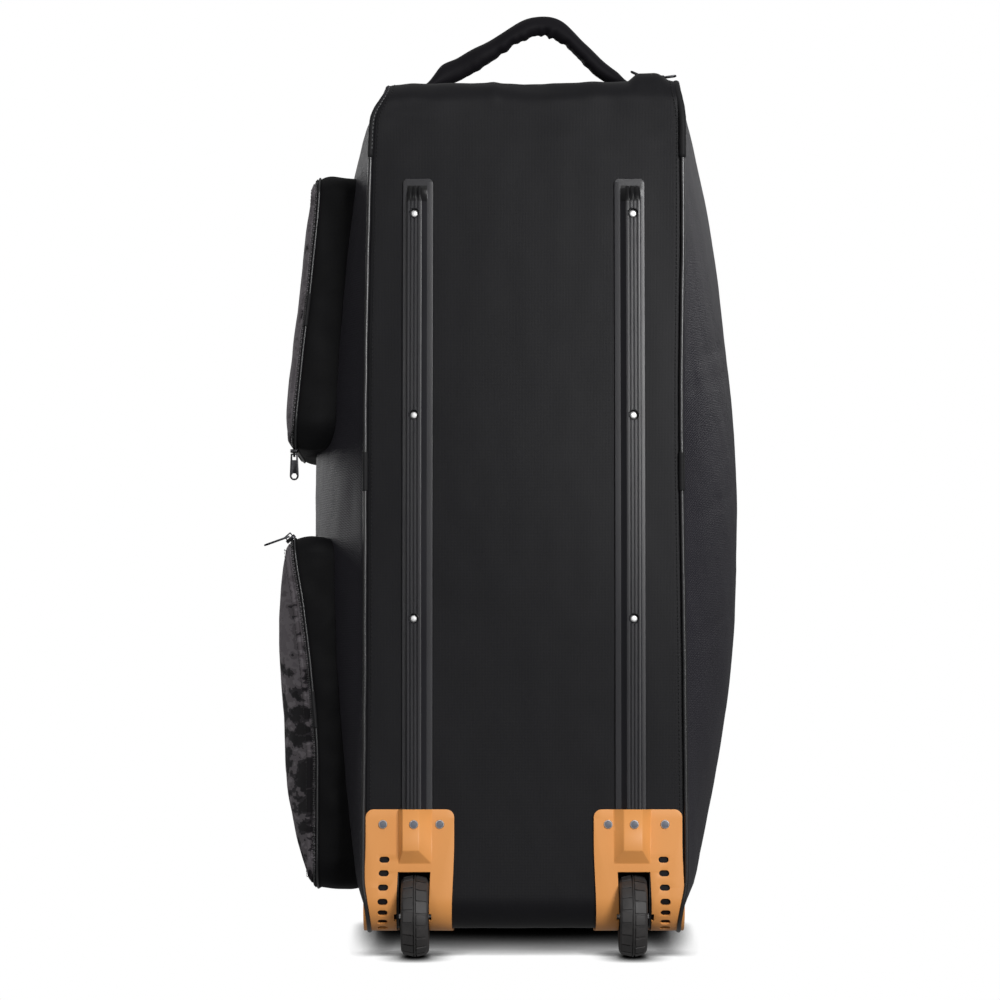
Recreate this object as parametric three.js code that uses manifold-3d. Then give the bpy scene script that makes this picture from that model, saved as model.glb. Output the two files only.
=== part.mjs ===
// A wheeled kit bag, in millimetres. It stands on its two wheels and on the far edge of its lower end, so it
// leans back a little. X runs across the back panel, Y from the back panel towards the lid, and Z upwards.
import * as THREE from 'three';
import { mergeVertices } from 'three/addons/utils/BufferGeometryUtils.js';
import Module from 'manifold-3d';

const wasm = await Module();
wasm.setup();

// Cloth body
const BODY_HEIGHT = 925;
const BODY_DEPTH = 350;
const PANEL_HALF_WIDTH = 172;
const CLOTH = 2.5;
const BACK_BOARD = 3.5;
const BACK_TOP_RADIUS = 28;
const BACK_FOOT_RADIUS = 34;
const LID_TOP_RADIUS = 80;
const LID_FOOT_RADIUS = 55;
const BACK_CROWN = 8;
const LID_CROWN = 24;
const FOOT_CROWN = 9;
const TOP_CROWN = 6;
const TOP_EDGE_SAG = 3;
const LEFT_BULGE = 62;
const RIGHT_BULGE = 68;
const SEAM_GAP = 0.6;
const TOUCH = 0.3;
const CLOTH_TOUCH = 0.8;
const BACK_WRAP = 16;
const FLAT_OVER_PLATE = 14;

// Piping along the two long seams, with its sewn sleeves
const PIPING_RADIUS = 2.4;
const SLEEVE_WALL = 1;
const TOP_SLEEVE_LENGTH = 66;
const MIDDLE_SLEEVE_LENGTH = 42;
const MIDDLE_SLEEVE_HEIGHT = 492;

// Skid rails
const RAIL_WIDTH = 33;
const RAIL_HEIGHT = 7;
const RAIL_TOP = 812;
const RAIL_FOOT = 96;
const RAIL_END_SLOPE = 12;
const RAIL_HOLE_RADIUS = 4.4;

// Rivets
const RIVET_HEAD_RADIUS = 4.2;
const RIVET_HEAD_HEIGHT = 1.6;
const RIVET_SHANK_RADIUS = 2.4;
const RAIL_RIVET_RADIUS = 3.3;
const RAIL_RIVET_HEIGHT = 3.6;
const RIVET_PITCH = 220;
const PLATE_RIVET_HEIGHT = 113;
const PLATE_RIVET_REACH = 30;

// Corner plates that hold the wheels
const PLATE = 2.6;
const PLATE_WIDTH = 95;
const PLATE_TOP = 128;
const PLATE_UNDER = 24;
const PLATE_SHIFT = 5.5;
const PLATE_CORNER_RADIUS = 8;
const SLOT_LENGTH = 10.5;
const SLOT_WIDTH = 6;
const SLOT_PITCH = 15;
const SLOT_COUNT = 7;
const SLOT_TOP = 76;
const SLOT_REACH = 33;
const HOOD_HEIGHT = 10.5;
const HOOD_FOOT = 68;
const HOOD_SHOULDER = 80;
const HOOD_SIDE_SLOPE = 7.5;
const HOOD_WALL = 2;

// Wheels
const WHEEL_RADIUS = 44;
const WHEEL_WIDTH = 30;
const WHEEL_OFFSET = 117;
const WHEEL_CLEARANCE = 2.5;
const RIM_RADIUS = 30;
const TREAD_COUNT = 12;
const TREAD_DEPTH = 2.2;
const AXLE_RADIUS = 3;
const AXLE_HEIGHT = 14;
const AXLE_DEPTH = 12;
const BEARING_CLEARANCE = 0.25;
const CUP_WALL = 2.5;
const CUP_TOP_CLEARANCE = 3;
const NOTCH_DEPTH = 2.5;

// Carry handle on the upper end
const HANDLE_SPAN = 244;
const HANDLE_RISE = 64;
const HANDLE_DEPTH = 95;
const HANDLE_CENTRE = 4;
const GRIP_WIDTH = 25;
const GRIP_HEIGHT = 19;
const HANDLE_TAB = 4;
const HANDLE_TAB_WIDTH = 34;

// Pockets on the left side, with their seam's distance from the bag's middle
const POCKET_NEAR = 60;
const POCKET_FAR = 296;
const UPPER_POCKET_FOOT = 525;
const UPPER_POCKET_TOP = 824;
const LOWER_POCKET_FOOT = 42;
const LOWER_POCKET_TOP = 424;
const UPPER_POCKET_CROWN = 10;
const LOWER_POCKET_CROWN = 33;
const POCKET_CORNER_RADIUS = 34;
const POCKET_TOP_RADIUS = 20;
const POCKET_SEAM_REACH = 226;
const ZIP_WIDTH = 7;
const ZIP_THICKNESS = 1.6;

// Zip sliders and pulls
const SLIDER_WIDTH = 9;
const SLIDER_LENGTH = 12;
const SLIDER_THICKNESS = 3.6;
const BAIL_WIDTH = 2.2;
const BAIL_HOLE = 3.2;
const BAIL_WIRE = 1.3;
const BAIL_LENGTH = 8.8;
const PULL_THICKNESS = 1.6;
const PULL_LENGTH = 29;
const PULL_SLOT = 6.4;
const PULL_HEAD_WIDTH = 8;
const PULL_RING_RADIUS = 5;
const PULL_RING_HOLE = 3.2;

// Zips on the upper end and on the lid
const TOP_ZIP_DEPTH = 52;
const TOP_ZIP_START = -0.55;
const TOP_ZIP_END = 0.93;
const LID_ZIP_INSET = 0.84;

// Mesh fineness
const RUN_STEP = 125;
const PANEL_COLUMNS = 6;
const SMALL_SIDES = 8;
const TURN_STEPS = 4;
const STEPS_APART = 2;
const SLOPE_REACH = 1;

const COLOURS = {
  backCloth: 0x29292b,
  sideCloth: 0x3a393d,
  gussetCloth: 0x212123,
  camoCloth: 0x4a464a,
  piping: 0x4d4d50,
  tape: 0x232325,
  rail: 0x47474b,
  plate: 0xe09a55,
  steel: 0xa9abb0,
  tyre: 0x2b2a2c,
  hub: 0x1c1c1e,
  zip: 0x151517,
};

const { lerp } = THREE.MathUtils;
const quarterTurn = Math.PI / 2;

// The half width of the back panel and lid, as a share of its widest, by how far up the body it is.
const RIM_ROWS = [
  { at: 0, left: 1.0, right: 1.01 },
  { at: 0.3, left: 0.99, right: 1.0 },
  { at: 0.6, left: 0.99, right: 0.985 },
  { at: 0.85, left: 0.97, right: 1.0 },
  { at: 0.94, left: 0.955, right: 1.0 },
  { at: 1, left: 0.88, right: 0.985 },
];

// How far each pocket's front seam lies from the bag's middle, as a share, from the pocket's foot up.
const UPPER_SEAM_ROWS = [
  { at: 0, reach: 1.11 },
  { at: 0.3, reach: 1.08 },
  { at: 0.65, reach: 1.03 },
  { at: 1, reach: 0.995 },
];
const LOWER_SEAM_ROWS = [
  { at: 0, reach: 0.995 },
  { at: 0.35, reach: 0.995 },
  { at: 0.6, reach: 1.025 },
  { at: 0.8, reach: 1.065 },
  { at: 1, reach: 1.11 },
];

// The handle's middle line: across as a share of its span, rise as a share of its rise, and how full it is.
const HANDLE_ROWS = [
  { across: -0.5, rise: 0, full: 0 },
  { across: -0.43, rise: 0.03, full: 0.1 },
  { across: -0.335, rise: 0.2, full: 0.6 },
  { across: -0.215, rise: 0.5, full: 0.9 },
  { across: -0.125, rise: 0.77, full: 1 },
  { across: -0.03, rise: 0.97, full: 1 },
  { across: 0.065, rise: 1, full: 1 },
  { across: 0.16, rise: 0.83, full: 1 },
  { across: 0.25, rise: 0.52, full: 0.9 },
  { across: 0.35, rise: 0.2, full: 0.6 },
  { across: 0.43, rise: 0.03, full: 0.1 },
  { across: 0.5, rise: 0, full: 0 },
];

// Half of the rail's section, from its edge to its middle, as shares of its half width and height.
const RAIL_ROWS = [
  { across: 1, rise: 0 },
  { across: 1, rise: 0.28 },
  { across: 0.7, rise: 0.28 },
  { across: 0.58, rise: 1 },
  { across: 0.4, rise: 1 },
  { across: 0.32, rise: 0.74 },
  { across: 0.24, rise: 1 },
  { across: 0.08, rise: 1 },
  { across: 0, rise: 0.74 },
];

// Half of the tyre's section, from its middle to its bead, as shares of its half width and of its depth.
const TYRE_ROWS = [
  { across: 0, rise: 1, tread: 0 },
  { across: 0.12, rise: 0.88, tread: 1 },
  { across: 0.78, rise: 0.74, tread: 1 },
  { across: 1, rise: 0.42, tread: 0 },
  { across: 0.86, rise: 0, tread: 0 },
];

// A value read from a table's column at a place, along a smooth line that never overshoots a row.
function readTable(rows, column, place) {
  const next = rows.findIndex((row) => row.at >= place);
  if (next === -1) return rows.at(-1)[column];
  if (next === 0) return rows[0][column];
  const grade = (index) => {
    if (index < 1 || index >= rows.length) return 0;
    return (rows[index][column] - rows[index - 1][column]) / (rows[index].at - rows[index - 1].at);
  };
  const slope = (index) => {
    const [before, after] = [grade(index), grade(index + 1)];
    return before * after > 0 ? (2 * before * after) / (before + after) : 0;
  };
  const span = rows[next].at - rows[next - 1].at;
  const share = (place - rows[next - 1].at) / span;
  const [start, end] = [rows[next - 1][column], rows[next][column]];
  const ease = share ** 2 * (3 - 2 * share);
  const lead = share * (1 - share) ** 2 * slope(next - 1) - share ** 2 * (1 - share) * slope(next);
  return lerp(start, end, ease) + lead * span;
}

// One closed body from points and triangles. Doubled points are merged, and the faces are turned outwards.
function closedBody(points, triangles) {
  const loose = new THREE.BufferGeometry().setFromPoints(points);
  loose.setIndex(triangles);
  const geometry = mergeVertices(loose, 1e-3);
  const corners = geometry.index.array;
  const place = new THREE.Vector3();
  const at = (index) => place.fromBufferAttribute(geometry.attributes.position, index).clone();
  const kept = [];
  let volume = 0;
  for (let i = 0; i < corners.length; i += 3) {
    const [a, b, c] = [corners[i], corners[i + 1], corners[i + 2]];
    if (a === b || b === c || c === a) continue;
    kept.push([a, b, c]);
    volume += at(a).dot(at(b).cross(at(c)));
  }
  geometry.setIndex(kept.flatMap(([a, b, c]) => (volume < 0 ? [a, c, b] : [a, b, c])));
  geometry.computeVertexNormals();
  return geometry;
}

// A sheet with a thickness, between an outer and an inner grid of points. A looped sheet closes on itself
// along its rows, and a row whose points all meet is a pole.
function thickSheet(outer, inner, looped = false) {
  const rows = outer.length;
  const columns = outer[0].length;
  const spans = looped ? columns : columns - 1;
  const triangles = [];
  const at = (layer, row, column) => (layer * rows + row) * columns + (column % columns);
  const quad = (a, b, c, d) => triangles.push(a, b, c, a, c, d);
  for (let column = 0; column < spans; column++) {
    for (let row = 0; row < rows - 1; row++) {
      quad(at(0, row, column), at(0, row, column + 1), at(0, row + 1, column + 1), at(0, row + 1, column));
      quad(at(1, row, column), at(1, row + 1, column), at(1, row + 1, column + 1), at(1, row, column + 1));
    }
    const last = rows - 1;
    quad(at(1, 0, column), at(1, 0, column + 1), at(0, 0, column + 1), at(0, 0, column));
    quad(at(0, last, column), at(0, last, column + 1), at(1, last, column + 1), at(1, last, column));
  }
  for (let row = 0; row < rows - 1 && !looped; row++) {
    const last = columns - 1;
    quad(at(0, row, 0), at(0, row + 1, 0), at(1, row + 1, 0), at(1, row, 0));
    quad(at(1, row, last), at(1, row + 1, last), at(0, row + 1, last), at(0, row, last));
  }
  return closedBody([...outer.flat(), ...inner.flat()], triangles);
}

// A solid whose outline is placed at each station in turn. A closed one ends where it starts.
function loft(outline, stations, place, closed = false) {
  const rows = stations.length;
  const columns = outline.length;
  const points = stations.flatMap((station) => outline.map((point) => place(point, station)));
  const at = (row, column) => (row % rows) * columns + (column % columns);
  const triangles = [];
  for (let row = 0; row < (closed ? rows : rows - 1); row++) {
    for (let column = 0; column < columns; column++) {
      triangles.push(at(row, column), at(row, column + 1), at(row + 1, column + 1));
      triangles.push(at(row, column), at(row + 1, column + 1), at(row + 1, column));
    }
  }
  if (!closed) {
    const turn = Math.sign(THREE.ShapeUtils.area(outline));
    for (const cap of THREE.ShapeUtils.triangulateShape(outline, [])) {
      const same = Math.sign(THREE.ShapeUtils.area(cap.map((corner) => outline[corner]))) === turn;
      const [a, b, c] = same ? cap : [cap[0], cap[2], cap[1]];
      triangles.push(at(0, a), at(0, c), at(0, b), at(rows - 1, a), at(rows - 1, b), at(rows - 1, c));
    }
  }
  return closedBody(points, triangles);
}

// A round outline with the given half width and half height.
function roundOutline(sides, halfWidth, halfHeight = halfWidth) {
  return Array.from({ length: sides }, (_, side) => {
    const angle = (side / sides) * 2 * Math.PI;
    return new THREE.Vector2(halfWidth * Math.cos(angle), halfHeight * Math.sin(angle));
  });
}

// A full outline from the rows of its half, which is mirrored about the middle.
function mirroredOutline(rows, halfWidth, height, base = 0) {
  const half = rows.map((row) => Object.assign(
    new THREE.Vector2(row.across * halfWidth, base + row.rise * height),
    { tread: row.tread },
  ));
  const mirrored = half.filter((point) => point.x > 0).reverse().map((point) => Object.assign(
    new THREE.Vector2(-point.x, point.y),
    { tread: point.tread },
  ));
  return [...half, ...mirrored];
}

// Cuts and joins, with manifold-3d
function solidOf(geometry) {
  const bare = geometry.clone();
  bare.deleteAttribute('normal');
  bare.deleteAttribute('uv');
  const merged = mergeVertices(bare, 1e-4);
  return new wasm.Manifold(new wasm.Mesh({
    numProp: 3,
    vertProperties: merged.attributes.position.array,
    triVerts: new Uint32Array(merged.index.array),
  }));
}

function geometryOf(solid) {
  const { vertProperties, triVerts } = solid.getMesh();
  const geometry = new THREE.BufferGeometry();
  geometry.setAttribute('position', new THREE.BufferAttribute(Float32Array.from(vertProperties), 3));
  geometry.setIndex([...triVerts]);
  geometry.computeVertexNormals();
  return geometry;
}

function cutAway(geometry, cutters) {
  return geometryOf(cutters.reduce((solid, cutter) => solid.subtract(solidOf(cutter)), solidOf(geometry)));
}

// A box between two corners
function boxBetween(low, high) {
  const size = new THREE.Vector3(high[0] - low[0], high[1] - low[1], high[2] - low[2]);
  return new THREE.BoxGeometry(size.x, size.y, size.z).translate(
    low[0] + size.x / 2,
    low[1] + size.y / 2,
    low[2] + size.z / 2,
  );
}

// A rounded rectangle in the YZ plane, walked up its near side, over its top, down its far side and back
// along its foot. at(place) gives the point and the outward direction that far along it.
function roundedLoop({ near, far, foot, top, radii }) {
  const [topNear, topFar, footFar, footNear] = radii;
  const corners = [
    { y: near + topNear, z: top - topNear, radius: topNear, turn: Math.PI },
    { y: far - topFar, z: top - topFar, radius: topFar, turn: quarterTurn },
    { y: far - footFar, z: foot + footFar, radius: footFar, turn: 0 },
    { y: near + footNear, z: foot + footNear, radius: footNear, turn: -quarterTurn },
  ];
  const runs = [
    top - foot - topNear - footNear,
    far - near - topNear - topFar,
    top - foot - topFar - footFar,
    far - near - footFar - footNear,
  ];
  const marks = [];
  let length = 0;
  for (const [side, corner] of corners.entries()) {
    const runEnd = length + runs[side];
    marks.push({ runStart: length, runEnd, turnEnd: runEnd + quarterTurn * corner.radius });
    length = marks[side].turnEnd;
  }
  function at(place) {
    const walked = THREE.MathUtils.euclideanModulo(place, length);
    const side = marks.findIndex((mark) => walked <= mark.turnEnd);
    const corner = corners[side];
    const before = Math.max(marks[side].runEnd - walked, 0);
    const angle = corner.turn - Math.max(walked - marks[side].runEnd, 0) / corner.radius;
    const ny = Math.cos(angle);
    const nz = Math.sin(angle);
    return {
      y: corner.y + corner.radius * ny - before * nz,
      z: corner.z + corner.radius * nz + before * ny,
      ny,
      nz,
    };
  }
  return { at, marks, length, corners, foot, top, centre: { y: (near + far) / 2, z: (foot + top) / 2 } };
}

// Places along a loop from one to another, close together round its corners. A start below zero is on the
// lap before.
function placesAlong(loop, from, to) {
  const steps = [];
  for (const lap of [-loop.length, 0]) {
    for (const { runStart, runEnd, turnEnd } of loop.marks) {
      const runSteps = Math.ceil((runEnd - runStart) / RUN_STEP);
      for (let step = 1; step <= runSteps; step++) {
        steps.push(lap + lerp(runStart, runEnd, step / runSteps));
      }
      for (let step = 1; step <= TURN_STEPS; step++) {
        steps.push(lap + lerp(runEnd, turnEnd, step / TURN_STEPS));
      }
    }
  }
  return [from, ...steps.filter((place) => place > from + STEPS_APART && place < to - STEPS_APART), to];
}

const lapOf = (loop) => placesAlong(loop, 0, loop.length).slice(0, -1);

// The body's side profile, and what is worked out from it
const body = roundedLoop({
  near: 0,
  far: BODY_DEPTH,
  foot: 0,
  top: BODY_HEIGHT,
  radii: [BACK_TOP_RADIUS, LID_TOP_RADIUS, LID_FOOT_RADIUS, BACK_FOOT_RADIUS],
});
const [backMark, topMark, lidMark, footMark] = body.marks;
const BODY_OUTLINE = lapOf(body).map((place) => body.at(place));
const placeOnBack = (height) => height - BACK_FOOT_RADIUS;
const placeOnTop = (depth) => topMark.runStart + depth - BACK_TOP_RADIUS;

// How far the middle of the cloth stands out from the profile, by the length walked along it.
const CROWN_KNOTS = [
  { at: 0, crown: 0 },
  { at: placeOnBack(PLATE_TOP + FLAT_OVER_PLATE), crown: 0 },
  { at: backMark.runEnd * 0.5, crown: BACK_CROWN },
  { at: backMark.runEnd * 0.8, crown: BACK_CROWN * 0.7 },
  { at: backMark.runEnd, crown: -TOP_EDGE_SAG * 0.4 },
  { at: backMark.turnEnd, crown: -TOP_EDGE_SAG },
  { at: lerp(topMark.runStart, topMark.runEnd, 0.4), crown: TOP_CROWN },
  { at: topMark.turnEnd, crown: TOP_CROWN },
  { at: lerp(lidMark.runStart, lidMark.runEnd, 0.5), crown: LID_CROWN },
  { at: lidMark.runEnd, crown: FOOT_CROWN },
  { at: lidMark.turnEnd, crown: FOOT_CROWN },
  { at: lerp(footMark.runStart, footMark.runEnd, 0.6), crown: 0 },
  { at: body.length, crown: 0 },
];

const rimAt = (edge, z) => PANEL_HALF_WIDTH * readTable(RIM_ROWS, edge, z / BODY_HEIGHT);
const edgeOf = (x) => (x < 0 ? 'left' : 'right');

// The cloth is straight between the mesh's rows, so what lies on it can follow it exactly.
const CLOTH_ROWS = [...lapOf(body), body.length].map((at) => {
  const { z } = body.at(at);
  const crown = readTable(CROWN_KNOTS, 'crown', at);
  return { at, crown, left: rimAt('left', z), right: rimAt('right', z) };
});

function readCloth(column, place) {
  const walked = THREE.MathUtils.euclideanModulo(place, body.length);
  const next = Math.max(CLOTH_ROWS.findIndex((row) => row.at >= walked), 1);
  const [before, after] = [CLOTH_ROWS[next - 1], CLOTH_ROWS[next]];
  return lerp(before[column], after[column], (walked - before.at) / (after.at - before.at));
}

// A point on the back, upper end, lid or lower end: across runs from -1 to 1 between the two long seams.
function stripPoint(place, across, lift = 0) {
  const { y, z, ny, nz } = body.at(place);
  const out = readCloth('crown', place) * (1 - across ** 2) + lift;
  const wide = readCloth(edgeOf(across), place) - SEAM_GAP / 2;
  return new THREE.Vector3(across * wide, y + ny * out, z + nz * out);
}

// The same surface by its distance from the bag's middle, lifted square to itself.
function stripPointAt(place, x, lift = 0) {
  const across = x / (readCloth(edgeOf(x), place) - SEAM_GAP / 2);
  const alongX = stripPoint(place, across + SLOPE_REACH / PANEL_HALF_WIDTH).sub(stripPoint(place, across));
  const alongPlace = stripPoint(place + SLOPE_REACH, across).sub(stripPoint(place, across));
  const outward = alongX.cross(alongPlace).normalize();
  return stripPoint(place, across).addScaledVector(outward, lift);
}

function stripPanel(from, to, thickness) {
  const layer = (lift) => placesAlong(body, from, to).map((place) => Array.from(
    { length: PANEL_COLUMNS + 1 },
    (_, column) => stripPoint(place, (2 * column) / PANEL_COLUMNS - 1, lift),
  ));
  return thickSheet(layer(0), layer(-thickness));
}

// The two domed side panels
const SIDES = {
  left: { sign: -1, bulge: LEFT_BULGE },
  right: { sign: 1, bulge: RIGHT_BULGE },
};

// How far a side's cloth lies from the bag's middle, at a point of the side view: it is one dome.
function sideInside(edge, y, z) {
  const acrossSide = (y - body.centre.y) / (BODY_DEPTH / 2);
  const alongSide = (z - body.centre.z) / (BODY_HEIGHT / 2);
  const full = (1 - acrossSide ** 2) * (1 - alongSide ** 2);
  return rimAt(edge, z) + SEAM_GAP / 2 + SIDES[edge].bulge * full;
}

function sideSheet(edge, outer, inner) {
  const rings = [1, 0.9, 0.72, 0.5, 0.26, 0];
  const layer = (lift) => rings.map((ring) => BODY_OUTLINE.map((point) => {
    const y = lerp(body.centre.y, point.y, ring);
    const z = lerp(body.centre.z, point.z, ring);
    const inside = ring === 1 ? rimAt(edge, z) + SEAM_GAP / 2 : sideInside(edge, y, z);
    return new THREE.Vector3(SIDES[edge].sign * (inside + lift), y, z);
  }));
  return thickSheet(layer(outer), layer(inner), true);
}

// The seam's line on one side, where the piping lies
function seamPoint(edge, place) {
  const { y, z, ny, nz } = body.at(place);
  const out = PIPING_RADIUS + TOUCH;
  const x = SIDES[edge].sign * (readCloth(edge, place) + CLOTH / 2);
  return { middle: new THREE.Vector3(x, y + ny * out, z + nz * out), ny, nz };
}

function piping(edge) {
  return loft(roundOutline(5, PIPING_RADIUS), lapOf(body), (point, place) => {
    const { middle, ny, nz } = seamPoint(edge, place);
    return middle.add(new THREE.Vector3(point.x, point.y * ny, point.y * nz));
  }, true);
}

// A sewn sleeve round the piping: it is open where the seam goes in under it.
function pipingSleeve(edge, from, to) {
  const inner = PIPING_RADIUS * 1.16 + TOUCH;
  const bends = [-0.62, -0.31, 0, 0.31, 0.62].map((share) => share * Math.PI);
  const places = placesAlong(body, from, to);
  const layer = (radius) => places.map((place) => bends.map((bend) => {
    const { middle, ny, nz } = seamPoint(edge, place);
    const out = radius * Math.cos(bend);
    return middle.add(new THREE.Vector3(radius * Math.sin(bend), out * ny, out * nz));
  }));
  return thickSheet(layer(inner + SLEEVE_WALL), layer(inner));
}

// Rails and rivets
const trackX = (sign) => sign * WHEEL_OFFSET;

const railPoint = (sign, across, place, lift) => stripPointAt(place, trackX(sign) + across, lift);

const railRivetHeights = [1, 2, 3].map((count) => PLATE_RIVET_HEIGHT + count * RIVET_PITCH);

function rail(sign) {
  const top = placeOnBack(RAIL_TOP);
  const stations = [
    ...placesAlong(body, placeOnBack(RAIL_FOOT), top - RAIL_END_SLOPE).map((place) => ({ place, full: 1 })),
    { place: top - RAIL_END_SLOPE / 2, full: 0.32 },
    { place: top, full: 0.3 },
  ];
  const section = mirroredOutline(RAIL_ROWS, RAIL_WIDTH / 2, RAIL_HEIGHT);
  const bar = loft(section, stations, (point, { place, full }) => (
    railPoint(sign, point.x, place, CLOTH_TOUCH + Math.min(point.y, full * RAIL_HEIGHT))
  ));
  const holes = railRivetHeights.map((height) => rivetFrame(
    new THREE.CylinderGeometry(RAIL_HOLE_RADIUS, RAIL_HOLE_RADIUS, 4 * RAIL_HEIGHT, SMALL_SIDES),
    (lift) => railPoint(sign, 0, placeOnBack(height), lift),
  ));
  return cutAway(bar, holes);
}

// Turns a geometry's Y axis along the outward direction that its seat gives, with its origin on the seat.
function rivetFrame(geometry, seat) {
  const foot = seat(0);
  const outward = seat(1).sub(foot).normalize();
  const turn = new THREE.Quaternion().setFromUnitVectors(new THREE.Vector3(0, 1, 0), outward);
  return geometry.applyQuaternion(turn).translate(foot.x, foot.y, foot.z);
}

// A rivet from its seat up to a domed head, with a narrower shank below the head.
function rivet(seat, shankRadius, shankTop, headRadius, headHeight) {
  const profile = [
    [0, CLOTH_TOUCH],
    [shankRadius, CLOTH_TOUCH],
    [shankRadius, shankTop],
    [headRadius, shankTop],
    [headRadius * 0.6, shankTop + headHeight],
    [0, shankTop + headHeight],
  ].map(([radius, height]) => new THREE.Vector2(radius, height));
  return rivetFrame(new THREE.LatheGeometry(profile, SMALL_SIDES), seat);
}

// Corner plates
const plateCentre = (sign) => sign * (WHEEL_OFFSET + PLATE_SHIFT);
const CUTOUT_HALF = WHEEL_WIDTH / 2 + WHEEL_CLEARANCE;
const CUTOUT_TOP = AXLE_HEIGHT + WHEEL_RADIUS + CUP_TOP_CLEARANCE;
const PLATE_SEAT = TOUCH + PLATE;

// A block that narrows from its seat outwards: a raised hood, or the hollow in it.
function hoodBlock(sign, { wide, tall, foot, shoulder, top }) {
  const x = trackX(sign);
  const base = TOUCH + PLATE * 0.8;
  const narrow = wide - HOOD_SIDE_SLOPE;
  const corners = [
    [-wide, base, foot], [wide, base, foot], [wide, base, top], [-wide, base, top],
    [-narrow, tall, shoulder], [narrow, tall, shoulder], [narrow, tall, top], [-narrow, tall, top],
  ].map(([across, out, height]) => new THREE.Vector3(x + across, -out, height));
  const faces = [[0, 1, 2, 3], [4, 7, 6, 5], [0, 4, 5, 1], [1, 5, 6, 2], [2, 6, 7, 3], [3, 7, 4, 0]];
  return closedBody(corners, faces.flatMap(([a, b, c, d]) => [a, b, c, a, c, d]));
}

function plateSlot(sign, count) {
  const half = (SLOT_LENGTH - SLOT_WIDTH) / 2;
  const shape = new THREE.Shape();
  shape.absarc(half, 0, SLOT_WIDTH / 2, -quarterTurn, quarterTurn);
  shape.absarc(-half, 0, SLOT_WIDTH / 2, quarterTurn, 3 * quarterTurn);
  const depth = 6 * PLATE;
  const slot = new THREE.ExtrudeGeometry(shape, { depth, bevelEnabled: false, curveSegments: 2 });
  slot.translate(0, 0, -depth / 2);
  const { y, z, ny, nz } = body.at(placeOnBack(SLOT_TOP - count * SLOT_PITCH));
  const basis = new THREE.Matrix4().makeBasis(
    new THREE.Vector3(1, 0, 0),
    new THREE.Vector3(0, nz, -ny),
    new THREE.Vector3(0, ny, nz),
  );
  return slot.applyMatrix4(basis).translate(sign * (WHEEL_OFFSET + SLOT_REACH), y, z);
}

function cornerPlate(sign) {
  const places = placesAlong(body, -quarterTurn * BACK_FOOT_RADIUS - PLATE_UNDER, placeOnBack(PLATE_TOP));
  const layer = (lift) => places.map((place) => [-1, 1].map((edge) => {
    const { y, z, ny, nz } = body.at(place);
    return new THREE.Vector3(plateCentre(sign) + (edge * PLATE_WIDTH) / 2, y + ny * lift, z + nz * lift);
  }));
  const sheet = solidOf(thickSheet(layer(PLATE_SEAT), layer(TOUCH)));
  const silhouette = new THREE.Shape();
  const half = PLATE_WIDTH / 2;
  const below = -2 * BACK_FOOT_RADIUS;
  silhouette.moveTo(-half, below);
  silhouette.lineTo(half, below);
  const corner = PLATE_CORNER_RADIUS;
  silhouette.absarc(half - corner, PLATE_TOP - corner, corner, 0, quarterTurn);
  silhouette.absarc(-half + corner, PLATE_TOP - corner, corner, quarterTurn, Math.PI);
  const depth = BODY_DEPTH;
  const rounded = new THREE.ExtrudeGeometry(silhouette, { depth, bevelEnabled: false, curveSegments: 3 });
  rounded.rotateX(quarterTurn).translate(plateCentre(sign), depth / 2, 0);
  const channel = RAIL_WIDTH / 2 + TOUCH;
  const tall = PLATE_SEAT + HOOD_HEIGHT;
  const hood = hoodBlock(sign, {
    wide: channel + HOOD_WALL,
    tall,
    foot: HOOD_FOOT,
    shoulder: HOOD_SHOULDER,
    top: PLATE_TOP,
  });
  const hollow = hoodBlock(sign, {
    wide: channel,
    tall: tall - HOOD_WALL,
    foot: HOOD_FOOT + 2 * HOOD_WALL,
    shoulder: HOOD_SHOULDER + HOOD_WALL,
    top: PLATE_TOP + HOOD_WALL,
  });
  const passage = boxBetween(
    [trackX(sign) - channel, -PLATE_SEAT, HOOD_FOOT + 2 * HOOD_WALL],
    [trackX(sign) + channel, PLATE_SEAT, PLATE_TOP + HOOD_WALL],
  );
  const deep = BACK_FOOT_RADIUS + PLATE_UNDER + CUP_WALL;
  const cutout = boxBetween(
    [trackX(sign) - CUTOUT_HALF, -deep, below],
    [trackX(sign) + CUTOUT_HALF, deep, CUTOUT_TOP],
  );
  const notch = boxBetween(
    [trackX(sign) - CUTOUT_HALF - NOTCH_DEPTH, -deep, AXLE_HEIGHT - AXLE_RADIUS],
    [trackX(sign) + CUTOUT_HALF + NOTCH_DEPTH, AXLE_DEPTH, AXLE_HEIGHT + AXLE_RADIUS],
  );
  const rivetHoles = [-1, 0, 1].map((step) => rivetFrame(
    new THREE.CylinderGeometry(
      RIVET_SHANK_RADIUS + TOUCH, RIVET_SHANK_RADIUS + TOUCH, 6 * PLATE_SEAT + HOOD_HEIGHT, SMALL_SIDES,
    ),
    plateRivetSeat(sign, step),
  ));
  const slots = Array.from({ length: SLOT_COUNT }, (_, count) => plateSlot(sign, count));
  const raised = sheet.intersect(solidOf(rounded)).add(solidOf(hood));
  return cutAway(geometryOf(raised), [hollow, passage, cutout, notch, ...rivetHoles, ...slots]);
}

// A plate rivet's seat: the middle one stands on the hood.
function plateRivetSeat(sign, step) {
  const x = trackX(sign) + step * PLATE_RIVET_REACH;
  const seatHeight = step === 0 ? HOOD_HEIGHT : 0;
  return (lift) => new THREE.Vector3(x, -seatHeight - lift, PLATE_RIVET_HEIGHT);
}

// Wheels
const CUP_HALF = CUTOUT_HALF + CUP_WALL;
const CUP_FAR = AXLE_DEPTH + WHEEL_RADIUS + WHEEL_CLEARANCE;

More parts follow.
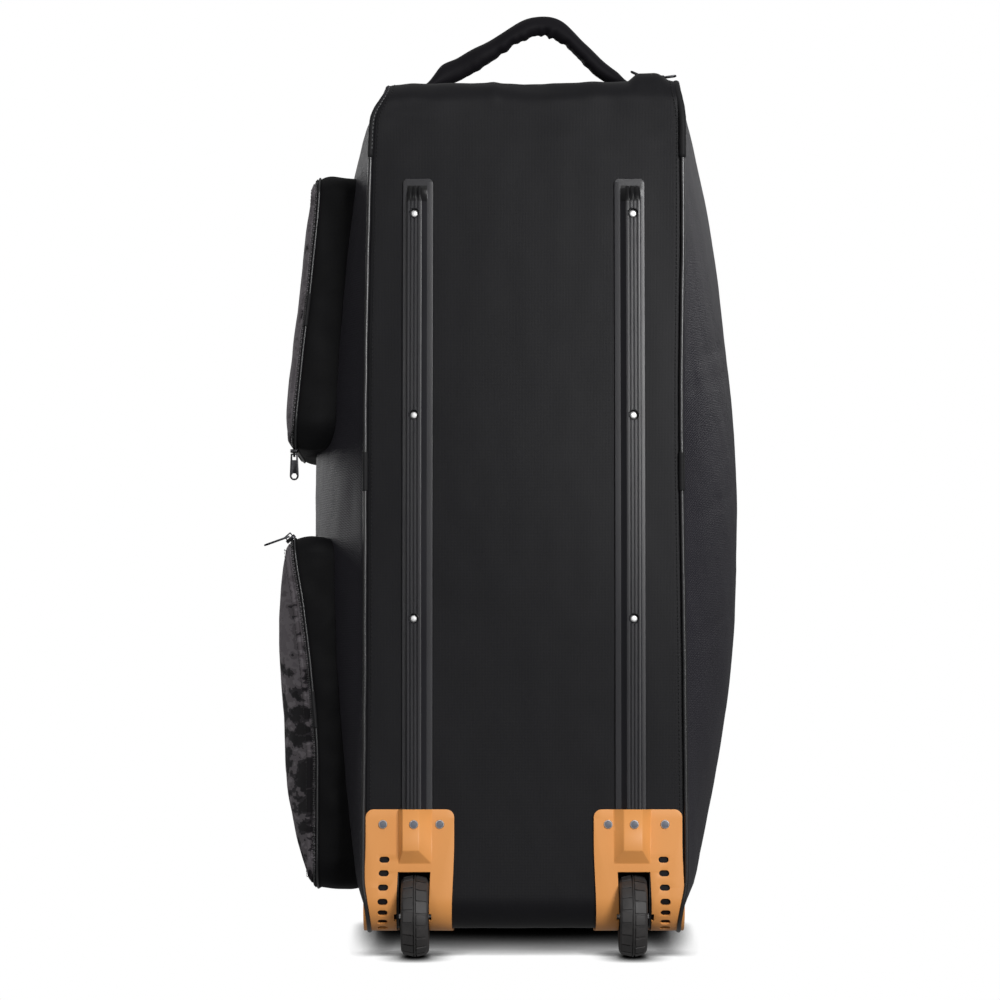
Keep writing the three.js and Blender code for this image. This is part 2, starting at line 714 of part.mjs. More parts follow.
// The whole body as one block, to trim what lies inside its rounded lower corner.
function bodyBlock() {
  const wide = 2 * PANEL_HALF_WIDTH;
  const least = 1e-6;
  const turns = (one, other) => Math.abs(one.ny * other.nz - one.nz * other.ny) > least;
  const corners = BODY_OUTLINE.filter((point, index) => {
    const after = BODY_OUTLINE[(index + 1) % BODY_OUTLINE.length];
    return turns(point, BODY_OUTLINE.at(index - 1)) || turns(point, after);
  });
  const outline = corners.map(({ y, z }) => new THREE.Vector2(y, z));
  return loft(outline, [-wide, wide], (point, x) => new THREE.Vector3(x, point.x, point.y));
}

function wheelWell(sign, grow) {
  return boxBetween(
    [trackX(sign) - CUTOUT_HALF - grow, -BODY_DEPTH, -BODY_DEPTH],
    [trackX(sign) + CUTOUT_HALF + grow, CUP_FAR + grow, CUTOUT_TOP + grow],
  );
}

function wheelCup(sign) {
  const bearing = new THREE.CylinderGeometry(
    AXLE_RADIUS + BEARING_CLEARANCE, AXLE_RADIUS + BEARING_CLEARANCE, 4 * CUP_HALF, 12,
  );
  bearing.rotateZ(quarterTurn).translate(trackX(sign), AXLE_DEPTH, AXLE_HEIGHT);
  const cup = solidOf(wheelWell(sign, CUP_WALL)).intersect(solidOf(bodyBlock()));
  return geometryOf(cup.subtract(solidOf(wheelWell(sign, 0))).subtract(solidOf(bearing)));
}

// A turned piece whose axis is the wheel's: profile points are radius and distance along the axle.
function turned(sign, profile, segments) {
  const points = profile.map(([radius, along]) => new THREE.Vector2(radius, along));
  const shape = new THREE.LatheGeometry([...points, points[0]], segments);
  return shape.rotateZ(-quarterTurn).translate(trackX(sign), 0, 0);
}

function axle(sign) {
  const profile = [[0, -CUP_HALF], [AXLE_RADIUS, -CUP_HALF], [AXLE_RADIUS, CUP_HALF], [0, CUP_HALF]];
  return turned(sign, profile, 12);
}

function hub(sign) {
  const bore = AXLE_RADIUS + BEARING_CLEARANCE;
  const rim = RIM_RADIUS - TOUCH;
  const wide = WHEEL_WIDTH * 0.4;
  const web = WHEEL_WIDTH * 0.2;
  const boss = WHEEL_WIDTH * 0.46;
  const [bossRadius, rimInside] = [bore * 2.4, rim * 0.86];
  const half = [
    [bore, boss],
    [bossRadius, boss],
    [bossRadius, web],
    [rimInside, web],
    [rimInside, wide],
    [rim, wide],
  ];
  const profile = [...half.map(([radius, along]) => [radius, -along]), ...half.toReversed()];
  return turned(sign, profile, 12);
}

function tyre(sign) {
  const outline = mirroredOutline(TYRE_ROWS, WHEEL_WIDTH / 2, WHEEL_RADIUS - RIM_RADIUS, RIM_RADIUS);
  const pitch = (2 * Math.PI) / TREAD_COUNT;
  const stations = Array.from({ length: TREAD_COUNT }, (_, tread) => [
    { angle: tread * pitch, depth: 0 },
    { angle: (tread + 0.76) * pitch, depth: 0 },
    { angle: (tread + 0.88) * pitch, depth: TREAD_DEPTH },
  ]).flat();
  return loft(outline, stations, (point, { angle, depth }) => {
    const radius = point.y - (point.tread ? depth : 0);
    return new THREE.Vector3(trackX(sign) + point.x, radius * Math.cos(angle), radius * Math.sin(angle));
  }, true);
}

// Carry handle: a padded roll that flattens into a tab at each end
function carryHandle() {
  const line = new THREE.CatmullRomCurve3(HANDLE_ROWS.map(({ across, rise, full }) => (
    new THREE.Vector3(across * HANDLE_SPAN, rise * HANDLE_RISE, full)
  )));
  const steps = 18;
  const seat = placeOnTop(HANDLE_DEPTH);
  const frames = Array.from({ length: steps + 1 }, (_, step) => {
    const here = line.getPoint(step / steps);
    const ahead = line.getTangent(step / steps);
    const full = THREE.MathUtils.clamp(here.z, 0, 1);
    const tall = lerp(HANDLE_TAB, GRIP_HEIGHT, full) / 2;
    const wide = lerp(HANDLE_TAB_WIDTH, GRIP_WIDTH, full) / 2;
    const square = new THREE.Vector2(-ahead.y, ahead.x).normalize();
    return { x: HANDLE_CENTRE + here.x, rise: Math.max(here.y, 0), square, tall, wide };
  });
  return loft(roundOutline(SMALL_SIDES, 1), frames, (point, { x, rise, square, tall, wide }) => {
    const middle = stripPointAt(seat + point.x * wide, x, CLOTH_TOUCH + tall);
    middle.x += square.x * point.y * tall;
    middle.z += square.y * point.y * tall + rise;
    return middle;
  });
}

// Pockets: a gusset that stands on the bag's left side, a zip round its front edge, and a full face
const POCKETS = {
  upper: {
    foot: UPPER_POCKET_FOOT,
    top: UPPER_POCKET_TOP,
    crown: UPPER_POCKET_CROWN,
    sag: 0.42,
    seam: UPPER_SEAM_ROWS,
  },
  lower: {
    foot: LOWER_POCKET_FOOT,
    top: LOWER_POCKET_TOP,
    crown: LOWER_POCKET_CROWN,
    sag: 0.46,
    seam: LOWER_SEAM_ROWS,
  },
};
for (const pocket of Object.values(POCKETS)) {
  pocket.loop = roundedLoop({
    near: POCKET_NEAR,
    far: POCKET_FAR,
    foot: pocket.foot,
    top: pocket.top,
    radii: [POCKET_TOP_RADIUS, POCKET_TOP_RADIUS, POCKET_CORNER_RADIUS, POCKET_CORNER_RADIUS],
  });
}
const pocketSeam = (pocket, z) => (
  POCKET_SEAM_REACH * readTable(pocket.seam, 'reach', (z - pocket.foot) / (pocket.top - pocket.foot))
);

// A ring of points round a pocket, inset from its outline, at a distance from the bag's middle.
function pocketRing(pocket, inset, distance) {
  return lapOf(pocket.loop).map((place) => {
    const { y, z, ny, nz } = pocket.loop.at(place);
    const [iy, iz] = [y - ny * inset, z - nz * inset];
    return new THREE.Vector3(-distance(iy, iz), iy, iz);
  });
}

// The gusset is trimmed to the side panel that it stands on.
function pocketGusset(pocket) {
  const onBag = (y, z) => sideInside('left', y, z) - 2 * CLOTH;
  const atSeam = (y, z) => pocketSeam(pocket, z);
  const layer = (inset) => [pocketRing(pocket, inset, onBag), pocketRing(pocket, inset, atSeam)];
  return cutAway(thickSheet(layer(0), layer(CLOTH), true), [sideSheet('left', CLOTH + TOUCH, -LEFT_BULGE)]);
}

function pocketZip(pocket) {
  const slope = ZIP_WIDTH * Math.SQRT1_2;
  const start = (y, z) => pocketSeam(pocket, z) + TOUCH;
  const end = (y, z) => start(y, z) + slope;
  const thick = ZIP_THICKNESS * 2;
  const outer = [pocketRing(pocket, 0, start), pocketRing(pocket, slope, end)];
  const inner = [pocketRing(pocket, thick, start), pocketRing(pocket, slope + thick, end)];
  return thickSheet(outer, inner, true);
}

function pocketFace(pocket) {
  const rings = [1, 0.82, 0.5, 0];
  const slope = ZIP_WIDTH * Math.SQRT1_2;
  const middleY = pocket.loop.centre.y;
  const middleZ = lerp(pocket.foot, pocket.top, pocket.sag);
  const layer = (lift) => rings.map((ring) => pocketRing(pocket, slope, () => 0).map((edge) => {
    const y = lerp(middleY, edge.y, ring);
    const z = lerp(middleZ, edge.z, ring);
    const full = pocket.crown * (1 - ring ** 2.4);
    return new THREE.Vector3(-(pocketSeam(pocket, z) + slope + 2 * TOUCH + full + lift), y, z);
  }));
  return thickSheet(layer(CLOTH), layer(0), true);
}

// Zips on the upper end and on the lid: a band that lies on the cloth
function zipBand(points) {
  const half = ZIP_WIDTH / 2;
  const layer = (lift) => points.map(({ place, x, turnX, turnPlace }) => [-half, half].map((side) => (
    stripPointAt(place + turnPlace * side, x + turnX * side, lift)
  )));
  return thickSheet(layer(CLOTH_TOUCH + ZIP_THICKNESS), layer(CLOTH_TOUCH));
}

function topZip() {
  const steps = 8;
  return zipBand(Array.from({ length: steps + 1 }, (_, step) => ({
    place: placeOnTop(TOP_ZIP_DEPTH),
    x: lerp(TOP_ZIP_START, TOP_ZIP_END, step / steps) * PANEL_HALF_WIDTH,
    turnX: 0,
    turnPlace: 1,
  })));
}

// The lid's zip goes up one side, across the top and down the other, with round corners.
function lidZip() {
  const wide = LID_ZIP_INSET * PANEL_HALF_WIDTH;
  const corner = wide * 0.42;
  const high = lidMark.runStart;
  const low = lidMark.runEnd;
  const sideSteps = 6;
  const turnSteps = 4;
  const line = [];
  for (let step = 0; step <= sideSteps; step++) {
    line.push({ place: lerp(low, high + corner, step / sideSteps), x: -wide, turnX: 1, turnPlace: 0 });
  }
  for (let step = 1; step < turnSteps; step++) {
    const angle = (step / turnSteps) * quarterTurn;
    const [side, up] = [Math.cos(angle), Math.sin(angle)];
    line.push({
      place: high + corner * (1 - up),
      x: -wide + corner * (1 - side),
      turnX: side,
      turnPlace: up,
    });
  }
  line.push({ place: high, x: -wide + corner, turnX: 0, turnPlace: 1 });
  line.push({ place: high, x: 0, turnX: 0, turnPlace: 1 });
  const mirror = (point) => ({ ...point, x: -point.x, turnX: -point.turnX });
  return zipBand([...line, ...line.slice(0, -1).reverse().map(mirror)]);
}

// Slider and pull, made with the zip's run along Z, the pivot along X and the outward side towards -Y
const PIVOT_LIFT = SLIDER_THICKNESS + BAIL_HOLE / 2;

function sliderBody() {
  const shape = new THREE.Shape();
  const [half, long] = [SLIDER_WIDTH / 2, SLIDER_LENGTH / 2];
  shape.moveTo(-half, long * 0.5);
  shape.lineTo(-half * 0.6, -long);
  shape.lineTo(half * 0.6, -long);
  shape.lineTo(half, long * 0.5);
  shape.lineTo(half * 0.7, long);
  shape.lineTo(-half * 0.7, long);
  const block = new THREE.ExtrudeGeometry(shape, { depth: SLIDER_THICKNESS, bevelEnabled: false });
  block.rotateX(quarterTurn);
  const bailTop = SLIDER_THICKNESS + BAIL_HOLE + BAIL_WIRE;
  const bail = solidOf(boxBetween(
    [-BAIL_WIDTH / 2, -bailTop, -BAIL_LENGTH / 2],
    [BAIL_WIDTH / 2, -SLIDER_THICKNESS / 2, BAIL_LENGTH / 2],
  )).subtract(solidOf(boxBetween(
    [-BAIL_WIDTH, -SLIDER_THICKNESS - BAIL_HOLE, -BAIL_LENGTH / 2 + BAIL_WIRE],
    [BAIL_WIDTH, -SLIDER_THICKNESS, BAIL_LENGTH / 2 - BAIL_WIRE],
  )));
  return geometryOf(solidOf(block).add(bail));
}

// The pull hangs along -Z from its pivot, which is its origin.
function pullTab() {
  const shape = new THREE.Shape();
  const head = PULL_HEAD_WIDTH / 2;
  const bar = PULL_THICKNESS / 2;
  const ringHeight = -PULL_LENGTH + PULL_RING_RADIUS;
  shape.moveTo(-head, bar);
  shape.lineTo(head, bar);
  shape.absarc(0, ringHeight, PULL_RING_RADIUS, 0, -Math.PI, true);
  const slot = new THREE.Path();
  const slotHalf = BAIL_WIDTH / 2 + 1;
  slot.moveTo(-slotHalf, -bar);
  slot.lineTo(-slotHalf, -PULL_SLOT);
  slot.lineTo(slotHalf, -PULL_SLOT);
  slot.lineTo(slotHalf, -bar);
  const ring = new THREE.Path();
  ring.absarc(0, ringHeight, PULL_RING_HOLE, 0, 2 * Math.PI);
  shape.holes.push(slot, ring);
  const depth = PULL_THICKNESS;
  const tab = new THREE.ExtrudeGeometry(shape, { depth, bevelEnabled: false, curveSegments: 3 });
  return tab.translate(0, 0, -depth / 2).rotateX(quarterTurn);
}

const MATERIALS = {
  backCloth: new THREE.MeshStandardMaterial({ color: COLOURS.backCloth, roughness: 0.9, metalness: 0 }),
  sideCloth: new THREE.MeshStandardMaterial({ color: COLOURS.sideCloth, roughness: 0.8, metalness: 0 }),
  gussetCloth: new THREE.MeshStandardMaterial({ color: COLOURS.gussetCloth, roughness: 0.9, metalness: 0 }),
  camoCloth: new THREE.MeshStandardMaterial({ color: COLOURS.camoCloth, roughness: 0.75, metalness: 0 }),
  piping: new THREE.MeshStandardMaterial({ color: COLOURS.piping, roughness: 0.45, metalness: 0 }),
  tape: new THREE.MeshStandardMaterial({ color: COLOURS.tape, roughness: 0.8, metalness: 0 }),
  rail: new THREE.MeshStandardMaterial({ color: COLOURS.rail, roughness: 0.5, metalness: 0 }),
  plate: new THREE.MeshStandardMaterial({ color: COLOURS.plate, roughness: 0.45, metalness: 0 }),
  steel: new THREE.MeshStandardMaterial({ color: COLOURS.steel, roughness: 0.3, metalness: 1 }),
  tyre: new THREE.MeshStandardMaterial({ color: COLOURS.tyre, roughness: 0.7, metalness: 0 }),
  hub: new THREE.MeshStandardMaterial({ color: COLOURS.hub, roughness: 0.55, metalness: 0 }),
  zip: new THREE.MeshStandardMaterial({ color: COLOURS.zip, roughness: 0.5, metalness: 0 }),
};

const bag = new THREE.Group();

function addPiece(name, geometry, material, parent = bag) {
  const piece = new THREE.Mesh(geometry, MATERIALS[material]);
  piece.name = name;
  parent.add(piece);
  return piece;
}

// The body's panels, each with half a seam between it and the next
const backWrap = quarterTurn * BACK_FOOT_RADIUS + BACK_WRAP;
const upperSeam = topMark.runStart + BACK_WRAP;
const lidTop = lerp(topMark.runEnd, topMark.turnEnd, 0.5);
const lidFoot = lerp(lidMark.runEnd, lidMark.turnEnd, 0.25);
const panelEnds = {
  back: [-backWrap, upperSeam],
  top: [upperSeam, lidTop],
  lid: [lidTop, lidFoot],
  foot: [lidFoot, body.length - backWrap],
};
const wells = [-1, 1].map((sign) => wheelWell(sign, CUP_WALL + TOUCH));

function bodyPanel(name, thickness = CLOTH) {
  const [from, to] = panelEnds[name];
  return stripPanel(from + SEAM_GAP / 2, to - SEAM_GAP / 2, thickness);
}

addPiece('back_panel', cutAway(bodyPanel('back', BACK_BOARD), wells), 'backCloth');
addPiece('upper_end', bodyPanel('top'), 'backCloth');
addPiece('lid', bodyPanel('lid'), 'sideCloth');
addPiece('lower_end', cutAway(bodyPanel('foot'), wells), 'backCloth');

for (const edge of ['left', 'right']) {
  addPiece(`side_panel_${edge}`, sideSheet(edge, CLOTH, 0), 'sideCloth');
  addPiece(`piping_${edge}`, piping(edge), 'piping');
  const topSleeve = pipingSleeve(edge, backMark.runEnd - TOP_SLEEVE_LENGTH, upperSeam);
  addPiece(`top_sleeve_${edge}`, topSleeve, 'tape');
  const sleeveFoot = placeOnBack(MIDDLE_SLEEVE_HEIGHT - MIDDLE_SLEEVE_LENGTH / 2);
  const middleSleeve = pipingSleeve(edge, sleeveFoot, sleeveFoot + MIDDLE_SLEEVE_LENGTH);
  addPiece(`middle_sleeve_${edge}`, middleSleeve, 'tape');
}

for (const [edge, sign] of [['left', -1], ['right', 1]]) {
  addPiece(`rail_${edge}`, rail(sign), 'rail');
  for (const [count, height] of railRivetHeights.entries()) {
    const seat = (lift) => railPoint(sign, 0, placeOnBack(height), lift);
    const head = RAIL_RIVET_HEIGHT * 0.4;
    addPiece(
      `rail_rivet_${edge}_${count + 1}`,
      rivet(seat, RAIL_RIVET_RADIUS, RAIL_RIVET_HEIGHT - head, RAIL_RIVET_RADIUS * 1.05, head),
      'steel',
    );
  }
  addPiece(`corner_plate_${edge}`, cornerPlate(sign), 'plate');
  for (const [count, step] of [-1, 0, 1].entries()) {
    const seat = plateRivetSeat(sign, step);
    const shank = PLATE_SEAT + TOUCH;
    addPiece(
      `plate_rivet_${edge}_${count + 1}`,
      rivet(seat, RIVET_SHANK_RADIUS, shank, RIVET_HEAD_RADIUS, RIVET_HEAD_HEIGHT),
      'steel',
    );
  }
  addPiece(`wheel_cup_${edge}`, wheelCup(sign), 'hub');
  const wheelPieces = [
    ['axle', axle(sign), 'steel'],
    ['hub', hub(sign), 'hub'],
    ['tyre', tyre(sign), 'tyre'],
  ];
  for (const [name, geometry, material] of wheelPieces) {
    addPiece(`${name}_${edge}`, geometry, material).position.set(0, AXLE_DEPTH, AXLE_HEIGHT);
  }
}

addPiece('carry_handle', carryHandle(), 'gussetCloth');

for (const [name, pocket] of Object.entries(POCKETS)) {
  addPiece(`${name}_pocket_gusset`, pocketGusset(pocket), 'gussetCloth');
  addPiece(`${name}_pocket_zip`, pocketZip(pocket), 'zip');
  addPiece(`${name}_pocket_face`, pocketFace(pocket), 'camoCloth');
}
addPiece('top_zip', topZip(), 'zip');
addPiece('lid_zip', lidZip(), 'zip');

// The lean that lets the lower end's far edge touch the ground that the wheels stand on
const farCorner = body.corners[2];
const [fallBack, rise] = [farCorner.y - AXLE_DEPTH, farCorner.z - AXLE_HEIGHT];
const farRadius = LID_FOOT_RADIUS + FOOT_CROWN;
const downAngle = Math.acos((farRadius - WHEEL_RADIUS) / Math.hypot(rise, fallBack));
const LEAN = downAngle - Math.atan2(fallBack, rise);
bag.rotation.x = -LEAN;

// Each slider stands on a seat, with an outward and a pivot direction. Its pull turns on the pivot, from
// pointing straight out (0) towards the foot of the slider (a quarter turn).
function seatOnCloth(place, share) {
  const x = share * PANEL_HALF_WIDTH;
  const seat = stripPointAt(place, x, CLOTH_TOUCH + ZIP_THICKNESS + TOUCH);
  return { seat, outward: stripPointAt(place, x, SLIDER_LENGTH).sub(stripPointAt(place, x)).normalize() };
}

// A seat by a pocket's zip, this far out from the pocket's outline and from its seam
function seatOnPocket(pocket, place, out, away, outward) {
  const { y, z, ny, nz } = pocket.loop.at(place);
  const seat = new THREE.Vector3(-pocketSeam(pocket, z) - away, y + ny * out, z + nz * out);
  return { seat, outward: new THREE.Vector3(...outward) };
}

const upperMarks = POCKETS.upper.loop.marks;
const lowerMarks = POCKETS.lower.loop.marks;
const SLIDERS = [
  {
    name: 'upper_pocket',
    ...seatOnPocket(POCKETS.upper, upperMarks[3].runEnd, 2 * TOUCH, ZIP_WIDTH * 0.4, [0, 0, -1]),
    pivot: [1, 0, 0],
    hangs: true,
  },
  {
    name: 'lower_pocket',
    ...seatOnPocket(
      POCKETS.lower,
      lowerMarks[0].turnEnd,
      -ZIP_WIDTH * 0.15,
      ZIP_WIDTH * 0.6,
      [-1, 0, 1.15],
    ),
    pivot: [0, -1, 0],
    swing: 1.2,
  },
  { name: 'top_inner', ...seatOnCloth(placeOnTop(TOP_ZIP_DEPTH), 0.79), pivot: [0, -1, 0], swing: 1.3 },
  { name: 'top_outer', ...seatOnCloth(placeOnTop(TOP_ZIP_DEPTH), 0.88), pivot: [0, 1, 0], swing: 1.5 },
  {
    name: 'lid',
    ...seatOnCloth(lerp(lidMark.runStart, lidMark.runEnd, 0.45), LID_ZIP_INSET),
    pivot: [-1, 0, 0],
    hangs: true,
  },
];
const down = new THREE.Vector3(0, Math.sin(LEAN), -Math.cos(LEAN));
for (const { name, seat, outward, pivot, swing, hangs } of SLIDERS) {
  outward.normalize();
  const axis = new THREE.Vector3(...pivot);
  axis.addScaledVector(outward, -outward.dot(axis)).normalize();
  const head = outward.clone().cross(axis);
  const turn = hangs ? Math.atan2(-down.dot(head), down.dot(outward)) : swing;
  const holder = new THREE.Group();
  holder.matrix.makeBasis(axis, outward.clone().negate(), head).setPosition(seat);
  holder.matrixAutoUpdate = false;
  bag.add(holder);
  addPiece(`${name}_slider`, sliderBody(), 'zip', holder);
  const pull = addPiece(`${name}_pull`, pullTab(), 'zip', holder);
  pull.position.y = -PIVOT_LIFT;
  pull.rotation.x = turn - quarterTurn;
}

// The bag stands on the ground, with the middle of its outer box at the origin.
const stand = new THREE.Group();
stand.add(bag);
stand.updateMatrixWorld(true);
const reach = new THREE.Box3().setFromObject(stand, true);
const middle = reach.getCenter(new THREE.Vector3());
bag.position.set(-middle.x, -middle.y, -reach.min.z);

export default stand;
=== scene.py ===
"""The looks of a wheeled kit bag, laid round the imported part.

Shapes are given in the bag's own frame in millimetres, with x across the back panel, y from the back panel
towards the lid and z up. They are then placed where the bag stands."""
import math

import bmesh
import bpy
from mathutils import Matrix, Vector, noise


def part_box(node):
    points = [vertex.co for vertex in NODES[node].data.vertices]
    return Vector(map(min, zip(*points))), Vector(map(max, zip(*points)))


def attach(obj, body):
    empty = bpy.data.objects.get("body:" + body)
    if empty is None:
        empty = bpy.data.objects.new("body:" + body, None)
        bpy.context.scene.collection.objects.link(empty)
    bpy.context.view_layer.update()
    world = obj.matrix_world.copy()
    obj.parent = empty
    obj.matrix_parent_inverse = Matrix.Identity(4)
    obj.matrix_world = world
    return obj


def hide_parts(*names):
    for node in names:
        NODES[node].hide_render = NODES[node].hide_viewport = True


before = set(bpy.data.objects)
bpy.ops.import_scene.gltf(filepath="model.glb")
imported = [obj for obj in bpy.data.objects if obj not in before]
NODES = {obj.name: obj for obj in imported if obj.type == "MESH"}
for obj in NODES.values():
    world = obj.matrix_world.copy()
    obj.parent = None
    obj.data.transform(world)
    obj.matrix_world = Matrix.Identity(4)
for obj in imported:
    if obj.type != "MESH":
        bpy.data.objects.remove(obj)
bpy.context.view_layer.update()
QUARTER = math.pi / 2
FULL = 2 * math.pi
MM = 0.001

# Sizes shared with the part's source, in millimetres
BODY_HEIGHT = 925
BODY_DEPTH = 350
PANEL_HALF_WIDTH = 172
CLOTH = 2.5
BACK_BOARD = 3.5
BACK_TOP_RADIUS = 28
BACK_FOOT_RADIUS = 34
LID_TOP_RADIUS = 80
LID_FOOT_RADIUS = 55
FOOT_CROWN = 9
SIDE_BULGE = {"left": 62, "right": 68}
SEAM_GAP = 0.6
TOUCH = 0.3
CLOTH_TOUCH = 0.8
BACK_WRAP = 16
PIPING_RADIUS = 2.4
RAIL_WIDTH = 33
RAIL_TOP = 812
RAIL_FOOT = 96
RIVET_PITCH = 220
PLATE_RIVET_HEIGHT = 113
PLATE = 2.6
PLATE_SEAT = PLATE + TOUCH
PLATE_WIDTH = 95
PLATE_TOP = 128
PLATE_UNDER = 24
PLATE_SHIFT = 5.5
HOOD_HEIGHT = 10.5
HOOD_FOOT = 70.3
HOOD_SHOULDER = 83.8
WHEEL_OFFSET = 117
WHEEL_RADIUS = 44
RIM_RADIUS = 30
AXLE_HEIGHT = 14
AXLE_DEPTH = 12
CUTOUT_HALF = 17.5
CUTOUT_TOP = 61
CUP_WALL = 2.5
WELL_FAR = 61.3
HANDLE_SPAN = 244
HANDLE_RISE = 64
HANDLE_DEPTH = 95
HANDLE_CENTRE = 4
POCKET_NEAR = 60
POCKET_FAR = 296
POCKET_CORNER_RADIUS = 34
POCKET_TOP_RADIUS = 20
POCKET_SEAM_REACH = 226
ZIP_WIDTH = 7
ZIP_PITCH = 2.4
TOP_ZIP_DEPTH = 52
TOP_ZIP_SHARES = (-0.55, 0.93)
LID_ZIP_INSET = 0.84
SIGNS = {"left": -1, "right": 1}

# How the worn cloth departs from the part's plain shape
SEAM_SINK = {"left": 6.4, "right": 6.2}
CORNER_DROP = 5.2
CORNER_ACROSS = (-152, -48)
CORNER_DEPTHS = (60, 160)
CORNER_BELOW_TOP = (48, 4)
FOOT_TRIM = {"left": 6.5, "right": 8.0}
FOOT_TRIM_HEIGHTS = (2, 56)
TOP_TRIM = {"left": 4.5, "right": 3.5}
TOP_TRIM_REACH = 45
CROWN_START = 14


def mix(start, end, share):
    return start + (end - start) * share


def steps(start, end, count):
    """Evenly spaced numbers from start to end, both included."""
    return [mix(start, end, step / count) for step in range(count + 1)]


def ease(value, low=0.0, high=1.0):
    """0 below low and 1 above high, with a smooth rise between."""
    share = min(max((value - low) / (high - low), 0.0), 1.0)
    return share * share * (3 - 2 * share)


def hump(value, centre, reach):
    """1 at the centre, falling smoothly to nothing beyond about twice the reach."""
    return math.exp(-(((value - centre) / reach) ** 2))


def ripple(x, y, size, seed=0.0):
    """Smooth random relief between -1 and 1, whose lumps are about this size."""
    return noise.noise(Vector((x / size, y / size, seed)))


def read_table(rows, place):
    """A value read from rows of (place, value), along a smooth line that never overshoots a row."""
    above = next((index for index, row in enumerate(rows) if row[0] >= place), None)
    if above is None:
        return rows[-1][1]
    if above == 0:
        return rows[0][1]

    def grade(index):
        if index < 1 or index >= len(rows):
            return 0.0
        return (rows[index][1] - rows[index - 1][1]) / (rows[index][0] - rows[index - 1][0])

    def slope(index):
        before, after = grade(index), grade(index + 1)
        return 2 * before * after / (before + after) if before * after > 0 else 0.0

    (low, start), (high, end) = rows[above - 1], rows[above]
    span = high - low
    share = (place - low) / span
    lead = share * (1 - share) ** 2 * slope(above - 1) - share ** 2 * (1 - share) * slope(above)
    return mix(start, end, share ** 2 * (3 - 2 * share)) + lead * span


class RoundedLoop:
    """A rounded rectangle in the side view, walked up its near side, over its top, down its far side
    and back along its foot."""

    def __init__(self, near, far, foot, top, radii):
        top_near, top_far, foot_far, foot_near = radii
        self.corners = [
            (near + top_near, top - top_near, top_near, math.pi),
            (far - top_far, top - top_far, top_far, QUARTER),
            (far - foot_far, foot + foot_far, foot_far, 0.0),
            (near + foot_near, foot + foot_near, foot_near, -QUARTER),
        ]
        runs = [
            top - foot - top_near - foot_near,
            far - near - top_near - top_far,
            top - foot - top_far - foot_far,
            far - near - foot_far - foot_near,
        ]
        self.marks = []
        self.length = 0.0
        for run, corner in zip(runs, self.corners):
            run_end = self.length + run
            self.marks.append((self.length, run_end, run_end + QUARTER * corner[2]))
            self.length = self.marks[-1][2]
        self.centre = ((near + far) / 2, (foot + top) / 2)

    def at(self, place):
        """The point, y and z, and the outward direction, that far along the loop."""
        walked = place % self.length
        side = next(index for index, mark in enumerate(self.marks) if walked <= mark[2])
        y, z, radius, turn = self.corners[side]
        before = max(self.marks[side][1] - walked, 0.0)
        angle = turn - max(walked - self.marks[side][1], 0.0) / radius
        ny, nz = math.cos(angle), math.sin(angle)
        return y + radius * ny - before * nz, z + radius * nz + before * ny, ny, nz

    def lap(self, run_step, turn_steps):
        """Places round the whole loop, close together round its corners, with the end place included."""
        places = [0.0]
        for run_start, run_end, turn_end in self.marks:
            places += steps(run_start, run_end, max(round((run_end - run_start) / run_step), 1))[1:]
            places += steps(run_end, turn_end, turn_steps)[1:]
        return places


BODY = RoundedLoop(
    0, BODY_DEPTH, 0, BODY_HEIGHT,
    (BACK_TOP_RADIUS, LID_TOP_RADIUS, LID_FOOT_RADIUS, BACK_FOOT_RADIUS),
)
BACK_MARK, TOP_MARK, LID_MARK, FOOT_MARK = BODY.marks
FOOT_ARC = QUARTER * BACK_FOOT_RADIUS

RIM_ROWS = {
    "left": [(0, 1.0), (0.3, 0.99), (0.6, 0.99), (0.85, 0.97), (0.94, 0.955), (1, 0.88)],
    "right": [(0, 1.01), (0.3, 1.0), (0.6, 0.985), (0.85, 1.0), (0.94, 1.0), (1, 0.985)],
}
CROWN_ROWS = [
    (0, 0),
    (PLATE_TOP + CROWN_START - BACK_FOOT_RADIUS, 0),
    (BACK_MARK[1] * 0.5, 8),
    (BACK_MARK[1] * 0.8, 5.6),
    (BACK_MARK[1], -1.2),
    (BACK_MARK[2], -3),
    (mix(TOP_MARK[0], TOP_MARK[1], 0.4), 6),
    (TOP_MARK[2], 6),
    (mix(LID_MARK[0], LID_MARK[1], 0.5), 24),
    (LID_MARK[1], FOOT_CROWN),
    (LID_MARK[2], FOOT_CROWN),
    (mix(FOOT_MARK[0], FOOT_MARK[1], 0.6), 0),
    (BODY.length, 0),
]


def place_on_back(height):
    return height - BACK_FOOT_RADIUS


def place_on_top(depth):
    return TOP_MARK[0] + depth - BACK_TOP_RADIUS


def edge_of(x):
    return "left" if x < 0 else "right"


def rim(edge, z):
    """The half width of the back panel and lid at a height, drawn in a little at the foot and the top."""
    full = PANEL_HALF_WIDTH * read_table(RIM_ROWS[edge], z / BODY_HEIGHT)
    full -= FOOT_TRIM[edge] * (1 - ease(z, *FOOT_TRIM_HEIGHTS))
    return full - TOP_TRIM[edge] * ease(z, BODY_HEIGHT - TOP_TRIM_REACH, BODY_HEIGHT)


def strip_point(place, across, lift=0.0):
    """A point on the ring of panels: across runs from -1 to 1 between the two long seams."""
    y, z, ny, nz = BODY.at(place)
    out = read_table(CROWN_ROWS, place % BODY.length) * (1 - across ** 2) + lift
    wide = rim(edge_of(across), z) - SEAM_GAP / 2
    return Vector((across * wide, y + ny * out, z + nz * out))


